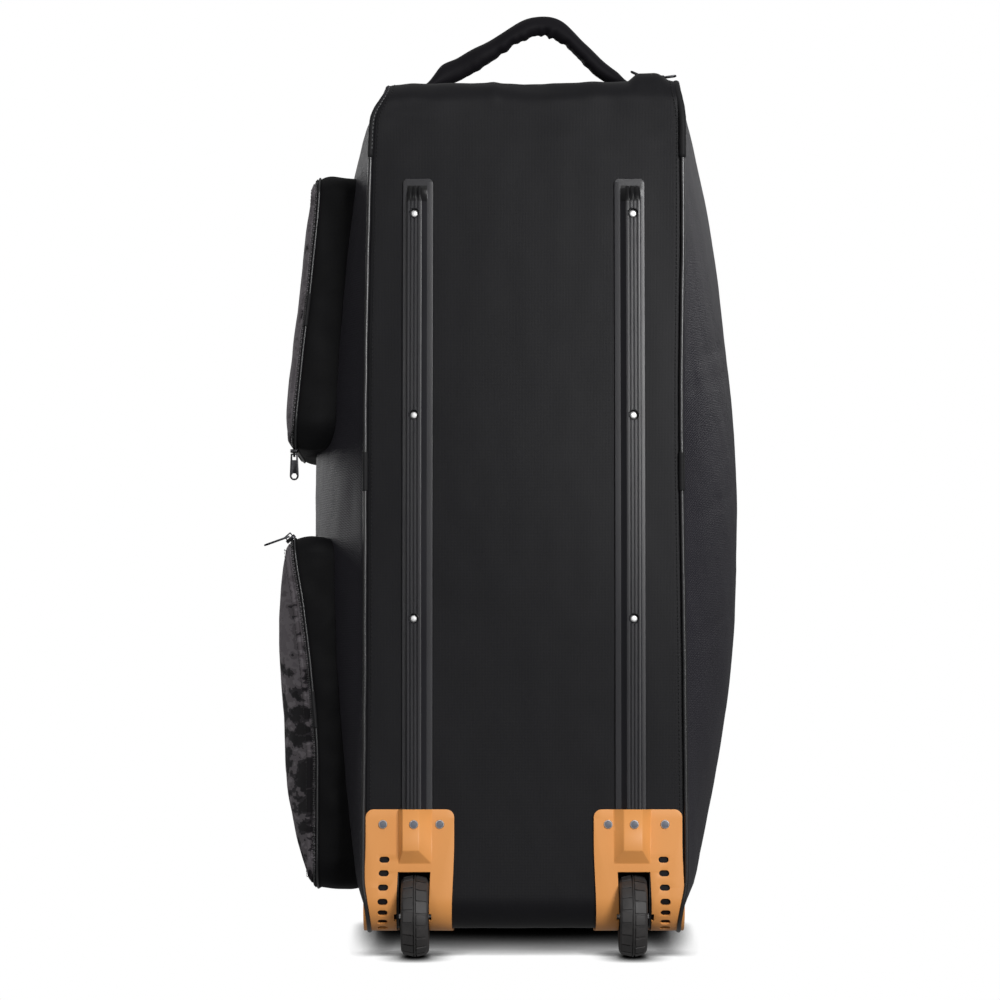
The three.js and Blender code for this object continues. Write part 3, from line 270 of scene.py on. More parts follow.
def strip_place(place, x, lift=0.0):
    """The same surface by its distance from the bag's middle: a point lifted square to it, and that direction."""
    across = x / (rim(edge_of(x), BODY.at(place)[1]) - SEAM_GAP / 2)
    here = strip_point(place, across)
    along_x = strip_point(place, across + 1 / PANEL_HALF_WIDTH) - here
    along_place = strip_point(place + 1, across) - here
    out = along_x.cross(along_place).normalized()
    return here + out * lift, out


def strip_point_at(place, x, lift=0.0):
    return strip_place(place, x, lift)[0]


def side_inside(edge, y, z):
    """How far a side's cloth lies from the bag's middle, at a point of the side view."""
    across_side = (y - BODY.centre[0]) / (BODY_DEPTH / 2)
    along_side = (z - BODY.centre[1]) / (BODY_HEIGHT / 2)
    full = (1 - across_side ** 2) * (1 - along_side ** 2)
    return rim(edge, z) + SEAM_GAP / 2 + SIDE_BULGE[edge] * full


def seam_point(edge, place):
    """The middle of the piping on one side, and the outward direction there."""
    y, z, ny, nz = BODY.at(place)
    sunk = ease(place, BACK_MARK[1] - 24, BACK_MARK[1] + 10)
    sunk -= ease(place, TOP_MARK[0] + 30, TOP_MARK[0] + 90)
    out = PIPING_RADIUS + TOUCH - SEAM_SINK[edge] * sunk
    x = SIGNS[edge] * (rim(edge, z) + CLOTH / 2)
    return Vector((x, y + ny * out, z + nz * out)), Vector((0, ny, nz))


# Where the bag stands: it leans back a little, on its wheels and on the far edge of its lower end.
fall_back = BODY_DEPTH - LID_FOOT_RADIUS - AXLE_DEPTH
rise = LID_FOOT_RADIUS - AXLE_HEIGHT
LEAN = math.acos((LID_FOOT_RADIUS + FOOT_CROWN - WHEEL_RADIUS) / math.hypot(rise, fall_back))
LEAN -= math.atan2(fall_back, rise)
TURN = Matrix.Rotation(-LEAN, 4, "X")
axle_middles = [sum(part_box(f"axle_{edge}"), Vector()) / 2 for edge in SIGNS]
axle_place = TURN @ Vector((0, AXLE_DEPTH, AXLE_HEIGHT)) * MM
STAND = Matrix.Translation(sum(axle_middles, Vector()) / 2 - axle_place) @ TURN @ Matrix.Scale(MM, 4)


# Node material helpers
def new_finish(name, colour, roughness, **constants):
    """A material with its shader's own numbers set, and the tree to add a pattern to."""
    finish = bpy.data.materials.new(name)
    finish.use_nodes = True
    tree = finish.node_tree
    shader = tree.nodes["Principled BSDF"]
    shader.inputs["Base Color"].default_value = (*colour, 1)
    shader.inputs["Roughness"].default_value = roughness
    for socket, value in constants.items():
        shader.inputs[socket.replace("_", " ")].default_value = value
    return finish, tree, shader


def add(tree, kind, inputs=None, **settings):
    made = tree.nodes.new(kind)
    for setting, value in settings.items():
        setattr(made, setting, value)
    for socket, value in (inputs or {}).items():
        if isinstance(value, bpy.types.NodeSocket):
            tree.links.new(value, made.inputs[socket])
        else:
            made.inputs[socket].default_value = value
    return made


def calculate(tree, operation, first, second=0.0, third=0.0):
    return add(tree, "ShaderNodeMath", {0: first, 1: second, 2: third}, operation=operation).outputs[0]


def noise_of(tree, vector, scale, detail=2.0, roughness=0.5):
    return add(
        tree, "ShaderNodeTexNoise",
        {"Vector": vector, "Scale": scale, "Detail": detail, "Roughness": roughness},
    ).outputs["Fac"]


def bands(tree, vector, pitch, direction="X", distortion=0.0):
    """Waves with this distance, in metres, from one to the next."""
    one_turn = {"X": 20, "Y": 20, "DIAGONAL": 10}[direction]
    return add(
        tree, "ShaderNodeTexWave",
        {"Vector": vector, "Scale": FULL / one_turn / pitch, "Distortion": distortion, "Detail": 1.0},
        wave_type="BANDS", bands_direction=direction,
    ).outputs["Fac"]


def stretched(tree, vector, scale):
    return add(tree, "ShaderNodeMapping", {"Vector": vector, "Scale": scale}).outputs["Vector"]


def shades(tree, factor, dark, light):
    """A colour between two, by a factor."""
    ramp = add(tree, "ShaderNodeMix", {"Factor": factor, 6: (*dark, 1), 7: (*light, 1)}, data_type="RGBA")
    return ramp.outputs[2]


def finish_surface(tree, shader, colour=None, roughness=None, height=None, depth=0.0002, strength=0.5):
    if colour is not None:
        tree.links.new(colour, shader.inputs["Base Color"])
    if roughness is not None:
        tree.links.new(roughness, shader.inputs["Roughness"])
    if height is not None:
        bump = add(tree, "ShaderNodeBump", {"Strength": strength, "Distance": depth, "Height": height})
        tree.links.new(bump.outputs["Normal"], shader.inputs["Normal"])


def scaled(colour, share):
    return tuple(channel * share for channel in colour)


def woven_cloth(name, colour, pitch, roughness=0.5, specular=0.16):
    """Plain-woven cloth: threads both ways, slubs along them, and faint uneven shades."""
    contrast, streaks, depth = 0.08, 0.48, 0.00012
    finish, tree, shader = new_finish(
        name, colour, roughness, Sheen_Weight=0.02, Sheen_Roughness=0.5, Specular_IOR_Level=specular,
    )
    place = add(tree, "ShaderNodeTexCoord").outputs["UV"]
    weft = bands(tree, place, pitch, "X", 0.6)
    warp = bands(tree, place, pitch, "Y", 0.6)
    threads = calculate(tree, "MAXIMUM", weft, warp)
    slubs = noise_of(tree, stretched(tree, place, (900, 60, 1)), 1.0, 2.0)
    patches = noise_of(tree, place, 14, 3.0)
    uneven = calculate(tree, "MULTIPLY_ADD", slubs, streaks, calculate(tree, "MULTIPLY", patches, streaks))
    factor = calculate(tree, "MULTIPLY_ADD", threads, contrast, uneven)
    colours = shades(tree, factor, scaled(colour, 0.62), scaled(colour, 1.35))
    finish_surface(tree, shader, colours, None, calculate(tree, "ADD", threads, slubs), depth)
    return finish


def twill_cloth(name, colour, pitch):
    """Cloth with a diagonal rib, broken into short floats, and a soft sheen."""
    contrast, depth = 0.3, 0.0004
    finish, tree, shader = new_finish(
        name, colour, 0.55, Sheen_Weight=0.04, Sheen_Roughness=0.3, Specular_IOR_Level=0.14,
    )
    place = add(tree, "ShaderNodeTexCoord").outputs["UV"]
    ribs = bands(tree, place, pitch, "DIAGONAL", 0.4)
    floats = bands(tree, place, pitch * 0.8, "Y", 1.0)
    weave = calculate(tree, "MULTIPLY_ADD", floats, 0.35, ribs)
    patches = noise_of(tree, place, 11, 3.0)
    factor = calculate(tree, "MULTIPLY_ADD", weave, contrast, calculate(tree, "MULTIPLY", patches, 0.5))
    colours = shades(tree, factor, scaled(colour, 0.6), scaled(colour, 1.4))
    finish_surface(tree, shader, colours, None, weave, depth, 0.6)
    return finish


def camouflage_cloth(name):
    """Charcoal and grey blotches with stepped edges, on a twill ground. They are darker and bolder below the
    fade heights and plainer above them."""
    darkest, dusty = (0.014, 0.013, 0.015), (0.03, 0.028, 0.03)
    stepped = (
        (0.43, (0.04, 0.036, 0.041)), (0.48, (0.155, 0.14, 0.151)), (0.55, (0.235, 0.214, 0.231)),
        (0.64, (0.19, 0.172, 0.187)),
    )
    finish, tree, shader = new_finish(name, (0.05, 0.045, 0.05), 0.8, Specular_IOR_Level=0.04)
    place = add(tree, "ShaderNodeTexCoord").outputs["UV"]
    height = add(tree, "ShaderNodeSeparateXYZ", {"Vector": place}).outputs["Y"]
    lower = calculate(tree, "MULTIPLY_ADD", height, -3.0, 0.8)
    plain = calculate(tree, "MINIMUM", calculate(tree, "MAXIMUM", lower, -0.13), 0.04)
    broad = noise_of(tree, stretched(tree, place, (0.48, 1, 1)), 46, 3.0, 0.6)
    ramp = add(tree, "ShaderNodeValToRGB", {"Fac": calculate(tree, "SUBTRACT", broad, plain)})
    ramp.color_ramp.interpolation = "CONSTANT"
    stops = ramp.color_ramp.elements
    stops.remove(stops[1])
    stops[0].position, stops[0].color = 0.0, (*darkest, 1)
    for position, colour in stepped:
        stops.new(position).color = (*colour, 1)
    ribs = bands(tree, place, 0.0022, "DIAGONAL", 0.4)
    worn = noise_of(tree, stretched(tree, place, (0.5, 1, 1)), 30, 4.0)
    wear = calculate(tree, "MULTIPLY", worn, 0.45)
    dimmed = add(
        tree, "ShaderNodeMix", {"Factor": wear, 6: ramp.outputs["Color"], 7: (*dusty, 1)}, data_type="RGBA",
    ).outputs[2]
    finish_surface(tree, shader, dimmed, None, ribs, 0.0003, 0.5)
    return finish


def moulded_plastic(name, colour, roughness, grain=0.00012, wear=0.25, specular=0.5):
    """Moulded plastic with a fine grain, faint flow marks and uneven gloss."""
    finish, tree, shader = new_finish(name, colour, roughness, Specular_IOR_Level=specular)
    place = add(tree, "ShaderNodeTexCoord").outputs["Object"]
    fine = noise_of(tree, place, 1400, 2.0)
    flow = noise_of(tree, stretched(tree, place, (1, 1, 0.35)), 26, 3.0)
    colours = shades(tree, flow, scaled(colour, 1 - wear / 2), scaled(colour, 1 + wear / 2))
    gloss = calculate(tree, "MULTIPLY_ADD", flow, 0.16, roughness - 0.08)
    finish_surface(tree, shader, colours, gloss, fine, grain, 0.4)
    return finish


def rubber(name):
    finish, tree, shader = new_finish(name, (0.022, 0.021, 0.022), 0.62)
    place = add(tree, "ShaderNodeTexCoord").outputs["Object"]
    dust = noise_of(tree, place, 90, 4.0, 0.6)
    colours = shades(tree, dust, (0.011, 0.0105, 0.011), (0.05, 0.046, 0.045))
    finish_surface(tree, shader, colours, calculate(tree, "MULTIPLY_ADD", dust, 0.3, 0.45),
                   noise_of(tree, place, 700, 2.0), 0.00015, 0.5)
    return finish


def metal(name, colour, roughness):
    finish, tree, shader = new_finish(name, colour, roughness, Metallic=1.0)
    place = add(tree, "ShaderNodeTexCoord").outputs["Object"]
    marks = noise_of(tree, place, 420, 3.0, 0.6)
    colours = shades(tree, marks, scaled(colour, 0.8), colour)
    finish_surface(tree, shader, colours, calculate(tree, "MULTIPLY_ADD", marks, 0.25, roughness - 0.1),
                   marks, 0.00004, 0.3)
    return finish


FINISHES = {
    "back_cloth": woven_cloth("black_canvas", (0.0059, 0.0058, 0.0072), 0.0016),
    "upper_cloth": woven_cloth("black_canvas_ends", (0.0059, 0.0058, 0.0072), 0.0016),
    "side_cloth": twill_cloth("charcoal_twill", (0.0215, 0.0203, 0.0262), 0.0032),
    # The pocket sides' cloth: black cloth made darker and less glossy than the back panel's canvas, partly its own
    # colour and partly painted shade for the pocket sides.
    "gusset_cloth": woven_cloth("pocket_gusset_cloth_painted_shade", (0.0042, 0.0042, 0.0047), 0.0014, 0.6, 0.08),
    "handle_cloth": woven_cloth("handle_cloth", (0.0062, 0.0056, 0.0074), 0.0015, 0.62, 0.1),
    "camouflage_cloth": camouflage_cloth("camouflage_cloth"),
    "piping": moulded_plastic("piping_cover", (0.014, 0.014, 0.015), 0.3, 0.0002, 0.3, 0.6),
    "sleeve_cloth": woven_cloth("binding_tape", (0.012, 0.012, 0.013), 0.0012, 0.6),
    "thread": woven_cloth("sewing_thread", (0.014, 0.014, 0.015), 0.0006, 0.6),
    "grey_thread": woven_cloth("grey_sewing_thread", (0.05, 0.047, 0.05), 0.0006, 0.6),
    "pale_thread": woven_cloth("pale_sewing_thread", (0.16, 0.16, 0.165), 0.0006, 0.6),
    "rail_plastic": moulded_plastic("rail_plastic", (0.0092, 0.0089, 0.0118), 0.38, 0.0002, 0.3, 0.5),
    # A darker, less glossy copy of the rail's plastic for the ramp where the ridge rises near the rail's top:
    # painted shade, standing in for the dark the slope reflects.
    "rail_ramp_painted_shade": moulded_plastic("rail_ramp_painted_shade", (0.006, 0.006, 0.0066), 0.3, 0.0001, 0.2, 0.3),
    "orange_plastic": moulded_plastic("orange_plastic", (0.745, 0.316, 0.087), 0.46, 0.0001, 0.12, 0.4),
    "rivet_steel": metal("rivet_steel", (0.6, 0.61, 0.64), 0.3),
    "rivet_core": moulded_plastic("rivet_core", (0.13, 0.14, 0.17), 0.4, 0.00005, 0.2),
    "rail_rivet_steel": metal("rail_rivet_steel", (0.97, 0.97, 0.97), 0.55),
    "axle_steel": metal("axle_steel", (0.85, 0.85, 0.86), 0.3),
    "cup_plastic": moulded_plastic("cup_plastic", (0.008, 0.008, 0.009), 0.55),
    "hub_plastic": moulded_plastic("hub_plastic", (0.012, 0.012, 0.014), 0.45),
    "tyre_rubber": rubber("tyre_rubber"),
    "zip_tape": woven_cloth("zip_tape", (0.009, 0.009, 0.01), 0.0009, 0.7, 0.15),
    "zip_coil": moulded_plastic("zip_coil", (0.014, 0.014, 0.015), 0.36),
    "zip_metal": metal("black_zip_metal", (0.05, 0.05, 0.055), 0.34),
}


# Mesh helpers
def face_backwards(mesh):
    """Turns the faces of a piece on the back panel so that they point away from the bag."""
    mesh.normal_update()
    if sum(face.normal.y * face.calc_area() for face in mesh.faces) > 0:
        bmesh.ops.reverse_faces(mesh, faces=mesh.faces)


def close_ends(mesh):
    holes = [edge for edge in mesh.edges if edge.is_boundary]
    bmesh.ops.holes_fill(mesh, edges=holes, sides=0)
    bmesh.ops.recalc_face_normals(mesh, faces=mesh.faces)


def shaped_grid(across, along, place, closed=False, centre=None):
    """A grid whose points a function places for two lists of steps, each with its place in the cloth in
    metres. Where a centre is given, the faces are turned to point away from it."""
    mesh = bmesh.new()
    columns, rows = len(across) - 1, len(along) - 1
    bmesh.ops.create_grid(mesh, x_segments=columns, y_segments=rows, size=0.5)
    cloth_places = {}
    for vertex in mesh.verts:
        column = round((vertex.co.x + 0.5) * columns)
        row = round((vertex.co.y + 0.5) * rows)
        vertex.co, cloth_places[vertex] = place(across[column], along[row])
    layer = mesh.loops.layers.uv.new("cloth")
    for face in mesh.faces:
        for loop in face.loops:
            loop[layer].uv = cloth_places[loop.vert]
    if closed:
        bmesh.ops.remove_doubles(mesh, verts=mesh.verts, dist=0.01)
    mesh.normal_update()
    if centre is not None:
        middle = Vector(centre)
        outwards = sum(
            face.normal.dot(face.calc_center_median() - middle) * face.calc_area() for face in mesh.faces
        )
        if outwards < 0:
            bmesh.ops.reverse_faces(mesh, faces=mesh.faces)
    return mesh


def settled(point):
    """Where a point comes to rest: the upper left back corner hangs a little, with everything on it."""
    low = CORNER_DROP * (1 - ease(point.x, *CORNER_ACROSS)) * (1 - ease(point.y, *CORNER_DEPTHS))
    point.z -= low * ease(point.z, *(BODY_HEIGHT - below for below in CORNER_BELOW_TOP))
    return point


def add_piece(name, mesh, finish, body="bag", replaces=(), sharp=None, thick=0.0, placed=False):
    """Ends a mesh, places it on the bag, gives it its finish and lets it ride on its body."""
    if not placed:
        for vertex in mesh.verts:
            vertex.co = settled(vertex.co)
        bmesh.ops.transform(mesh, matrix=STAND, verts=mesh.verts)
    mesh.normal_update()
    data = bpy.data.meshes.new(name)
    mesh.to_mesh(data)
    mesh.free()
    data.polygons.foreach_set("use_smooth", [True] * len(data.polygons))
    if sharp is not None:
        data.set_sharp_from_angle(angle=math.radians(sharp))
    data.materials.append(FINISHES[finish])
    piece = bpy.data.objects.new(name, data)
    bpy.context.scene.collection.objects.link(piece)
    if thick:
        wall = piece.modifiers.new("wall", "SOLIDIFY")
        wall.thickness = thick * MM
        wall.offset = -1
    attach(piece, body)
    if replaces:
        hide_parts(*replaces)
    return piece


def round_edges(piece, width, angle):
    """Rounds a piece's edges that are sharper than the angle, with a modifier."""
    bevel = piece.modifiers.new("edges", "BEVEL")
    bevel.width = width * MM
    bevel.segments = 2
    bevel.limit_method = "ANGLE"
    bevel.angle_limit = math.radians(angle)
    bevel.harden_normals = False


def bevel_edges(mesh, edges, width, segments):
    bmesh.ops.bevel(
        mesh, geom=edges, offset=width, offset_type="OFFSET", affect="EDGES", segments=segments, profile=0.5,
        material=-1, clamp_overlap=True,
    )


def walked_lengths(path):
    """How far along a list of (middle, outward direction) each of its points lies."""
    lengths = [0.0]
    for before, after in zip(path, path[1:]):
        lengths.append(lengths[-1] + (after[0] - before[0]).length)
    return lengths


def tube(path, radius, sides, closed=False):
    """A round tube along a list of (middle, outward direction). The radius may be a function of the point."""
    count = len(path)
    lengths = walked_lengths(path)

    def place(turn, row):
        middle, out = path[row]
        ahead = path[(row + 1) % count if closed else min(row + 1, count - 1)][0]
        behind = path[(row - 1) % count if closed else max(row - 1, 0)][0]
        forward = (ahead - behind).normalized()
        side = forward.cross(out).normalized()
        lift = side.cross(forward)
        angle = turn * FULL
        wide = radius(row) if callable(radius) else radius
        offset = side * (math.cos(angle) * wide) + lift * (math.sin(angle) * wide)
        return middle + offset, (turn * FULL * wide * MM, lengths[row] * MM)

    rows = [*range(count), 0] if closed else list(range(count))
    mesh = shaped_grid(steps(0, 1, sides), rows, place, closed=True)
    if closed:
        bmesh.ops.recalc_face_normals(mesh, faces=mesh.faces)
    else:
        close_ends(mesh)
    return mesh


def frame_matrix(middle, forward, out):
    """A frame with its Y axis forward and its Z axis as near outward as it can be."""
    y = forward.normalized()
    x = y.cross(out).normalized()
    z = x.cross(y)
    matrix = Matrix((x, y, z)).transposed().to_4x4()
    matrix.translation = middle
    return matrix


def walk(path, pitch):
    """Frames at even distances along a list of (middle, outward direction)."""
    frames = []
    due = pitch / 2
    walked = 0.0
    for (here, out), (there, out_there) in zip(path, path[1:]):
        reach = (there - here).length
        while reach > 0 and walked + reach >= due:
            share = (due - walked) / reach
            frames.append(frame_matrix(here.lerp(there, share), there - here, out.lerp(out_there, share)))
            due += pitch
        walked += reach
    return frames


def blocks(frames, size, slants=(0.0,)):
    """Small blocks at frames, turned about the outward direction by each slant in turn."""
    mesh = bmesh.new()
    shape = Matrix.Diagonal((*size, 1))
    for count, placed in enumerate(frames):
        slant = Matrix.Rotation(slants[count % len(slants)], 4, "Z")
        bmesh.ops.create_cube(mesh, size=1, matrix=placed @ slant @ shape)
    return mesh


def stitch_row(name, path, pitch=4.2, finish="thread", size=(0.9, 3.0, 0.7)):
    """A row of lockstitches along a path on the cloth."""
    return add_piece(name, blocks(walk(path, pitch), size), finish)


def zip_chain(name, path, replaces, wide=ZIP_WIDTH):
    """A zip: its tape, with a raised edge each side, and its coil down the middle."""
    lengths = walked_lengths(path)
    tape_edge, coil_lift, coil_slant = 0.92, 1.0, 0.22

    def place(share, row):
        middle, out = path[row]
        ahead = path[min(row + 1, len(path) - 1)][0]
        behind = path[max(row - 1, 0)][0]
        side = (ahead - behind).normalized().cross(out).normalized()
        lift = 0.5 * hump(abs(share), tape_edge, 0.08) + 0.2
        return middle + side * (share * wide / 2) + out * lift, (share * wide / 2 * MM, lengths[row] * MM)

    half = [tape_edge, 0.84, 0.4]
    across = [-1, *(-share for share in half), 0, *reversed(half), 1]
    tape = shaped_grid(across, list(range(len(path))), place)
    tape.faces.ensure_lookup_table()
    middle_face = tape.faces[len(tape.faces) // 2]
    nearest = min(path, key=lambda point: (point[0] - middle_face.calc_center_median()).length)
    if middle_face.normal.dot(nearest[1]) < 0:
        bmesh.ops.reverse_faces(tape, faces=tape.faces)
    add_piece(f"{name}_tape", tape, "zip_tape", replaces=replaces, thick=0.6)
    raised = [(middle + out * coil_lift, out) for middle, out in path]
    size = (wide * 0.42, ZIP_PITCH * 0.55, 1.3)
    coil = blocks(walk(raised, ZIP_PITCH), size, (coil_slant, -coil_slant))
    add_piece(f"{name}_coil", coil, "zip_coil")


# The cloth body
BACK_ENDS = (-FOOT_ARC - BACK_WRAP, TOP_MARK[0] + BACK_WRAP)
TOP_ENDS = (TOP_MARK[0] + BACK_WRAP, mix(TOP_MARK[1], TOP_MARK[2], 0.5))
LID_ENDS = (mix(TOP_MARK[1], TOP_MARK[2], 0.5), mix(LID_MARK[1], LID_MARK[2], 0.25))
FOOT_ENDS = (mix(LID_MARK[1], LID_MARK[2], 0.25), BODY.length - FOOT_ARC - BACK_WRAP)
BODY_CENTRE = (0, BODY_DEPTH / 2, BODY_HEIGHT / 2)
STITCH_FROM_SEAM = 4.5


def back_relief(place, x):
    """Slack in the back panel: broad and slight, with soft folds below the top edge."""
    height = place + BACK_FOOT_RADIUS
    relief = 0.7 * ripple(x, place, 120, 1.7) + 0.3 * ripple(x * 1.4, place * 0.7, 38, 4.2)
    near_top = ease(height, 800, 905)
    fold_line = 886 - 14 * hump(x, -150, 90) - 9 * hump(x, 40, 120)
    relief += near_top * 1.3 * ripple(x * 0.35, place * 1.5, 24, 8.8)
    relief -= 0.35 * hump(height, fold_line, 7) * ease(x, -170, -120)
    return relief


def upper_edge_relief(place, x):
    """The upper back edge is slack: it stands up in a fold by the zip's closed end and waves elsewhere."""
    depth = place - TOP_MARK[0] + BACK_TOP_RADIUS
    near = ease(depth, -26, 12) * (1 - ease(depth, 36, 72))
    fold = 9.0 * ease(x, 113, 126) * (1 - ease(x, 144, 164))
    fold *= ease(depth, -6, 20) * (1 - ease(depth, 30, 56))
    waves = 1.8 * hump(x, -33, 7) + 1.6 * hump(x, -122, 22) + 1.4 * hump(x, 80, 26) - 1.6 * hump(x, 6, 26)
    waves += 0.8 * ripple(x, 0, 17, 5.5)
    return fold + waves * near


def top_relief(place, x):
    """The upper end gathers below the handle, and its zip lies in a shallow trough."""
    depth = place - TOP_MARK[0] + BACK_TOP_RADIUS
    relief = 1.6 * ripple(x, place, 55, 12.1) + 0.7 * ripple(x, place * 0.4, 20, 3.3)
    relief -= 2.2 * hump(depth, TOP_ZIP_DEPTH, 4.5) * ease(x, -110, -90)
    return relief


def lid_relief(place, x):
    return 2.4 * ripple(x, place, 130, 21.0) + 0.9 * ripple(x * 0.8, place * 1.3, 44, 9.0)


def foot_relief(place, x):
    return 1.1 * ripple(x, place, 70, 31.0) + 0.5 * ripple(x, place, 26, 5.0)


def cloth_strip(ends, relief, column_size, row_size):
    """One panel of the body's ring. Its edges dip into the seams, and the two ends are turned in."""
    start, end = ends[0] + SEAM_GAP / 2, ends[1] - SEAM_GAP / 2
    near_top = TOP_ENDS[0] in ends

    def place(across, walked):
        wide = rim(edge_of(across), BODY.at(walked)[1])
        x = across * wide
        from_side = (1 - abs(across)) * wide
        from_end = min(walked - start, end - walked)
        free = ease(from_side, 0, 26) * ease(from_end, 0, 12)
        turned_in = -1.6 * hump(from_end, 0, 2.2) - 0.8 * hump(from_side, 0, 2.5)
        shared = upper_edge_relief(walked, x) * ease(from_side, 0, 12) if near_top else 0.0
        lift = relief(walked, x) * free + turned_in + shared
        return strip_point(walked, across, lift), (x * MM, walked * MM)

    columns = round(2 * PANEL_HALF_WIDTH / column_size)
    rows = round((end - start) / row_size)
    edge_steps = [-1, -0.992, -0.98]
    across = edge_steps + steps(-0.965, 0.965, columns) + [-step for step in reversed(edge_steps)]
    along = [start, start + 1.2, start + 2.6] + steps(start + 5, end - 5, rows) + [end - 2.6, end - 1.2, end]
    return shaped_grid(across, along, place, centre=BODY_CENTRE)


def cut_wells(mesh):
    """Cuts the two wheel wells out of a panel."""
    grow = CUP_WALL + TOUCH
    top = CUTOUT_TOP + grow
    half = CUTOUT_HALF + grow
    near_top = top + 12
    low = [vertex for vertex in mesh.verts if vertex.co.z < near_top]
    for sign in SIGNS.values():
        for x in (-half, half):
            near = {edge for vertex in low if vertex.is_valid for edge in vertex.link_edges}
            faces = {face for edge in near for face in edge.link_faces}
            verts = {vertex for face in faces for vertex in face.verts}
            edges = {edge for face in faces for edge in face.edges}
            geometry = [*verts, *edges, *faces]
            cut = (sign * WHEEL_OFFSET + x, 0, 0)
            bmesh.ops.bisect_plane(mesh, geom=geometry, plane_co=cut, plane_no=(1, 0, 0))
            low = [vertex for vertex in mesh.verts if vertex.co.z < near_top]
    geometry = [*mesh.verts, *mesh.edges, *mesh.faces]
    bmesh.ops.bisect_plane(mesh, geom=geometry, plane_co=(0, 0, top), plane_no=(0, 0, 1))
    inside = []
    for face in mesh.faces:
        middle = face.calc_center_median()
        if middle.z < top and middle.y < WELL_FAR and abs(abs(middle.x) - WHEEL_OFFSET) < half:
            inside.append(face)
    bmesh.ops.delete(mesh, geom=inside, context="FACES")
    return mesh


def strip_path(start, end, x_of, count, lift=0.0):
    """A line on the ring of panels, as (point, outward direction)."""
    return [strip_place(place, x_of(place), lift) for place in steps(start, end, count)]


def build_body():
    back = cut_wells(cloth_strip(BACK_ENDS, back_relief, 4.4, 4.6))
    add_piece("back_cloth", back, "back_cloth", replaces=["back_panel"], thick=BACK_BOARD)
    upper = cloth_strip(TOP_ENDS, top_relief, 4.0, 3.6)
    add_piece("upper_end_cloth", upper, "upper_cloth", replaces=["upper_end"], thick=CLOTH)
    lid = cloth_strip(LID_ENDS, lid_relief, 5.5, 6.5)
    add_piece("lid_cloth", lid, "side_cloth", replaces=["lid"], thick=CLOTH)
    foot = cut_wells(cloth_strip(FOOT_ENDS, foot_relief, 5.0, 5.0))
    add_piece("lower_end_cloth", foot, "upper_cloth", replaces=["lower_end"], thick=CLOTH)
    for name, at in (("upper", TOP_ENDS[0]), ("lid", LID_ENDS[0]), ("foot", LID_ENDS[1])):
        for count, shift in enumerate((-STITCH_FROM_SEAM, STITCH_FROM_SEAM)):
            path = []
            for across in steps(-0.96, 0.96, 60):
                point = strip_point(at + shift, across, 0.2)
                path.append((point, (strip_point(at + shift, across, 1.2) - point).normalized()))
            stitch_row(f"{name}_seam_stitches_{count + 1}", path)


# The right side's creases: height, reach and depth
SIDE_CREASES = ((628, 7, 1.5), (596, 6, 1.1), (460, 9, 0.9), (330, 8, 0.8))
SIDE_RINGS = (1, 0.994, 0.985, 0.97, 0.95, 0.925)


def side_relief(edge, y, z):
    """Slack in the domed sides: broad dents, and faint creases that run down and outwards."""
    seed = {"left": 40.0, "right": 60.0}[edge]
    relief = 2.6 * ripple(y, z * 0.8, 150, seed)
    relief += 0.8 * ripple(y * 1.6 + z * 0.5, z * 0.55, 42, seed + 3)
    relief += 0.35 * ripple(y * 2.2, z + y, 20, seed + 7)
    if edge == "right":
        for height, reach, depth in SIDE_CREASES:
            line = height + 0.35 * (y - 60) + 6 * ripple(y, height, 60, seed)
            relief -= depth * hump(z, line, reach) * hump(y, 70, 70)
    return relief


def build_sides():
    rings = [*SIDE_RINGS, *steps(0.9, 0, 30)]
    for edge, sign in SIGNS.items():
        def place(ring, walked, edge=edge, sign=sign):
            loop_y, loop_z = BODY.at(walked)[:2]
            y, z = mix(BODY.centre[0], loop_y, ring), mix(BODY.centre[1], loop_z, ring)
            inside = rim(edge, z) + SEAM_GAP / 2 if ring == 1 else side_inside(edge, y, z)
            free = ease(1 - ring, 0, 0.14)
            lift = CLOTH + side_relief(edge, y, z) * free - 1.0 * hump(1 - ring, 0, 0.006)
            return Vector((sign * (inside + lift), y, z)), (y * MM, z * MM)

        mesh = shaped_grid(rings, BODY.lap(9, 14), place, closed=True, centre=BODY_CENTRE)
        add_piece(f"side_cloth_{edge}", mesh, "side_cloth", replaces=[f"side_panel_{edge}"], thick=CLOTH)


SLEEVES = {
    "top": (BACK_MARK[1] - 62, TOP_MARK[0] + BACK_WRAP),
    "middle": (place_on_back(471), place_on_back(513)),
}
SLEEVE_SWELL = {"top": {"left": 0.2, "right": 0.9}, "middle": {"left": 0.25, "right": 0.25}}


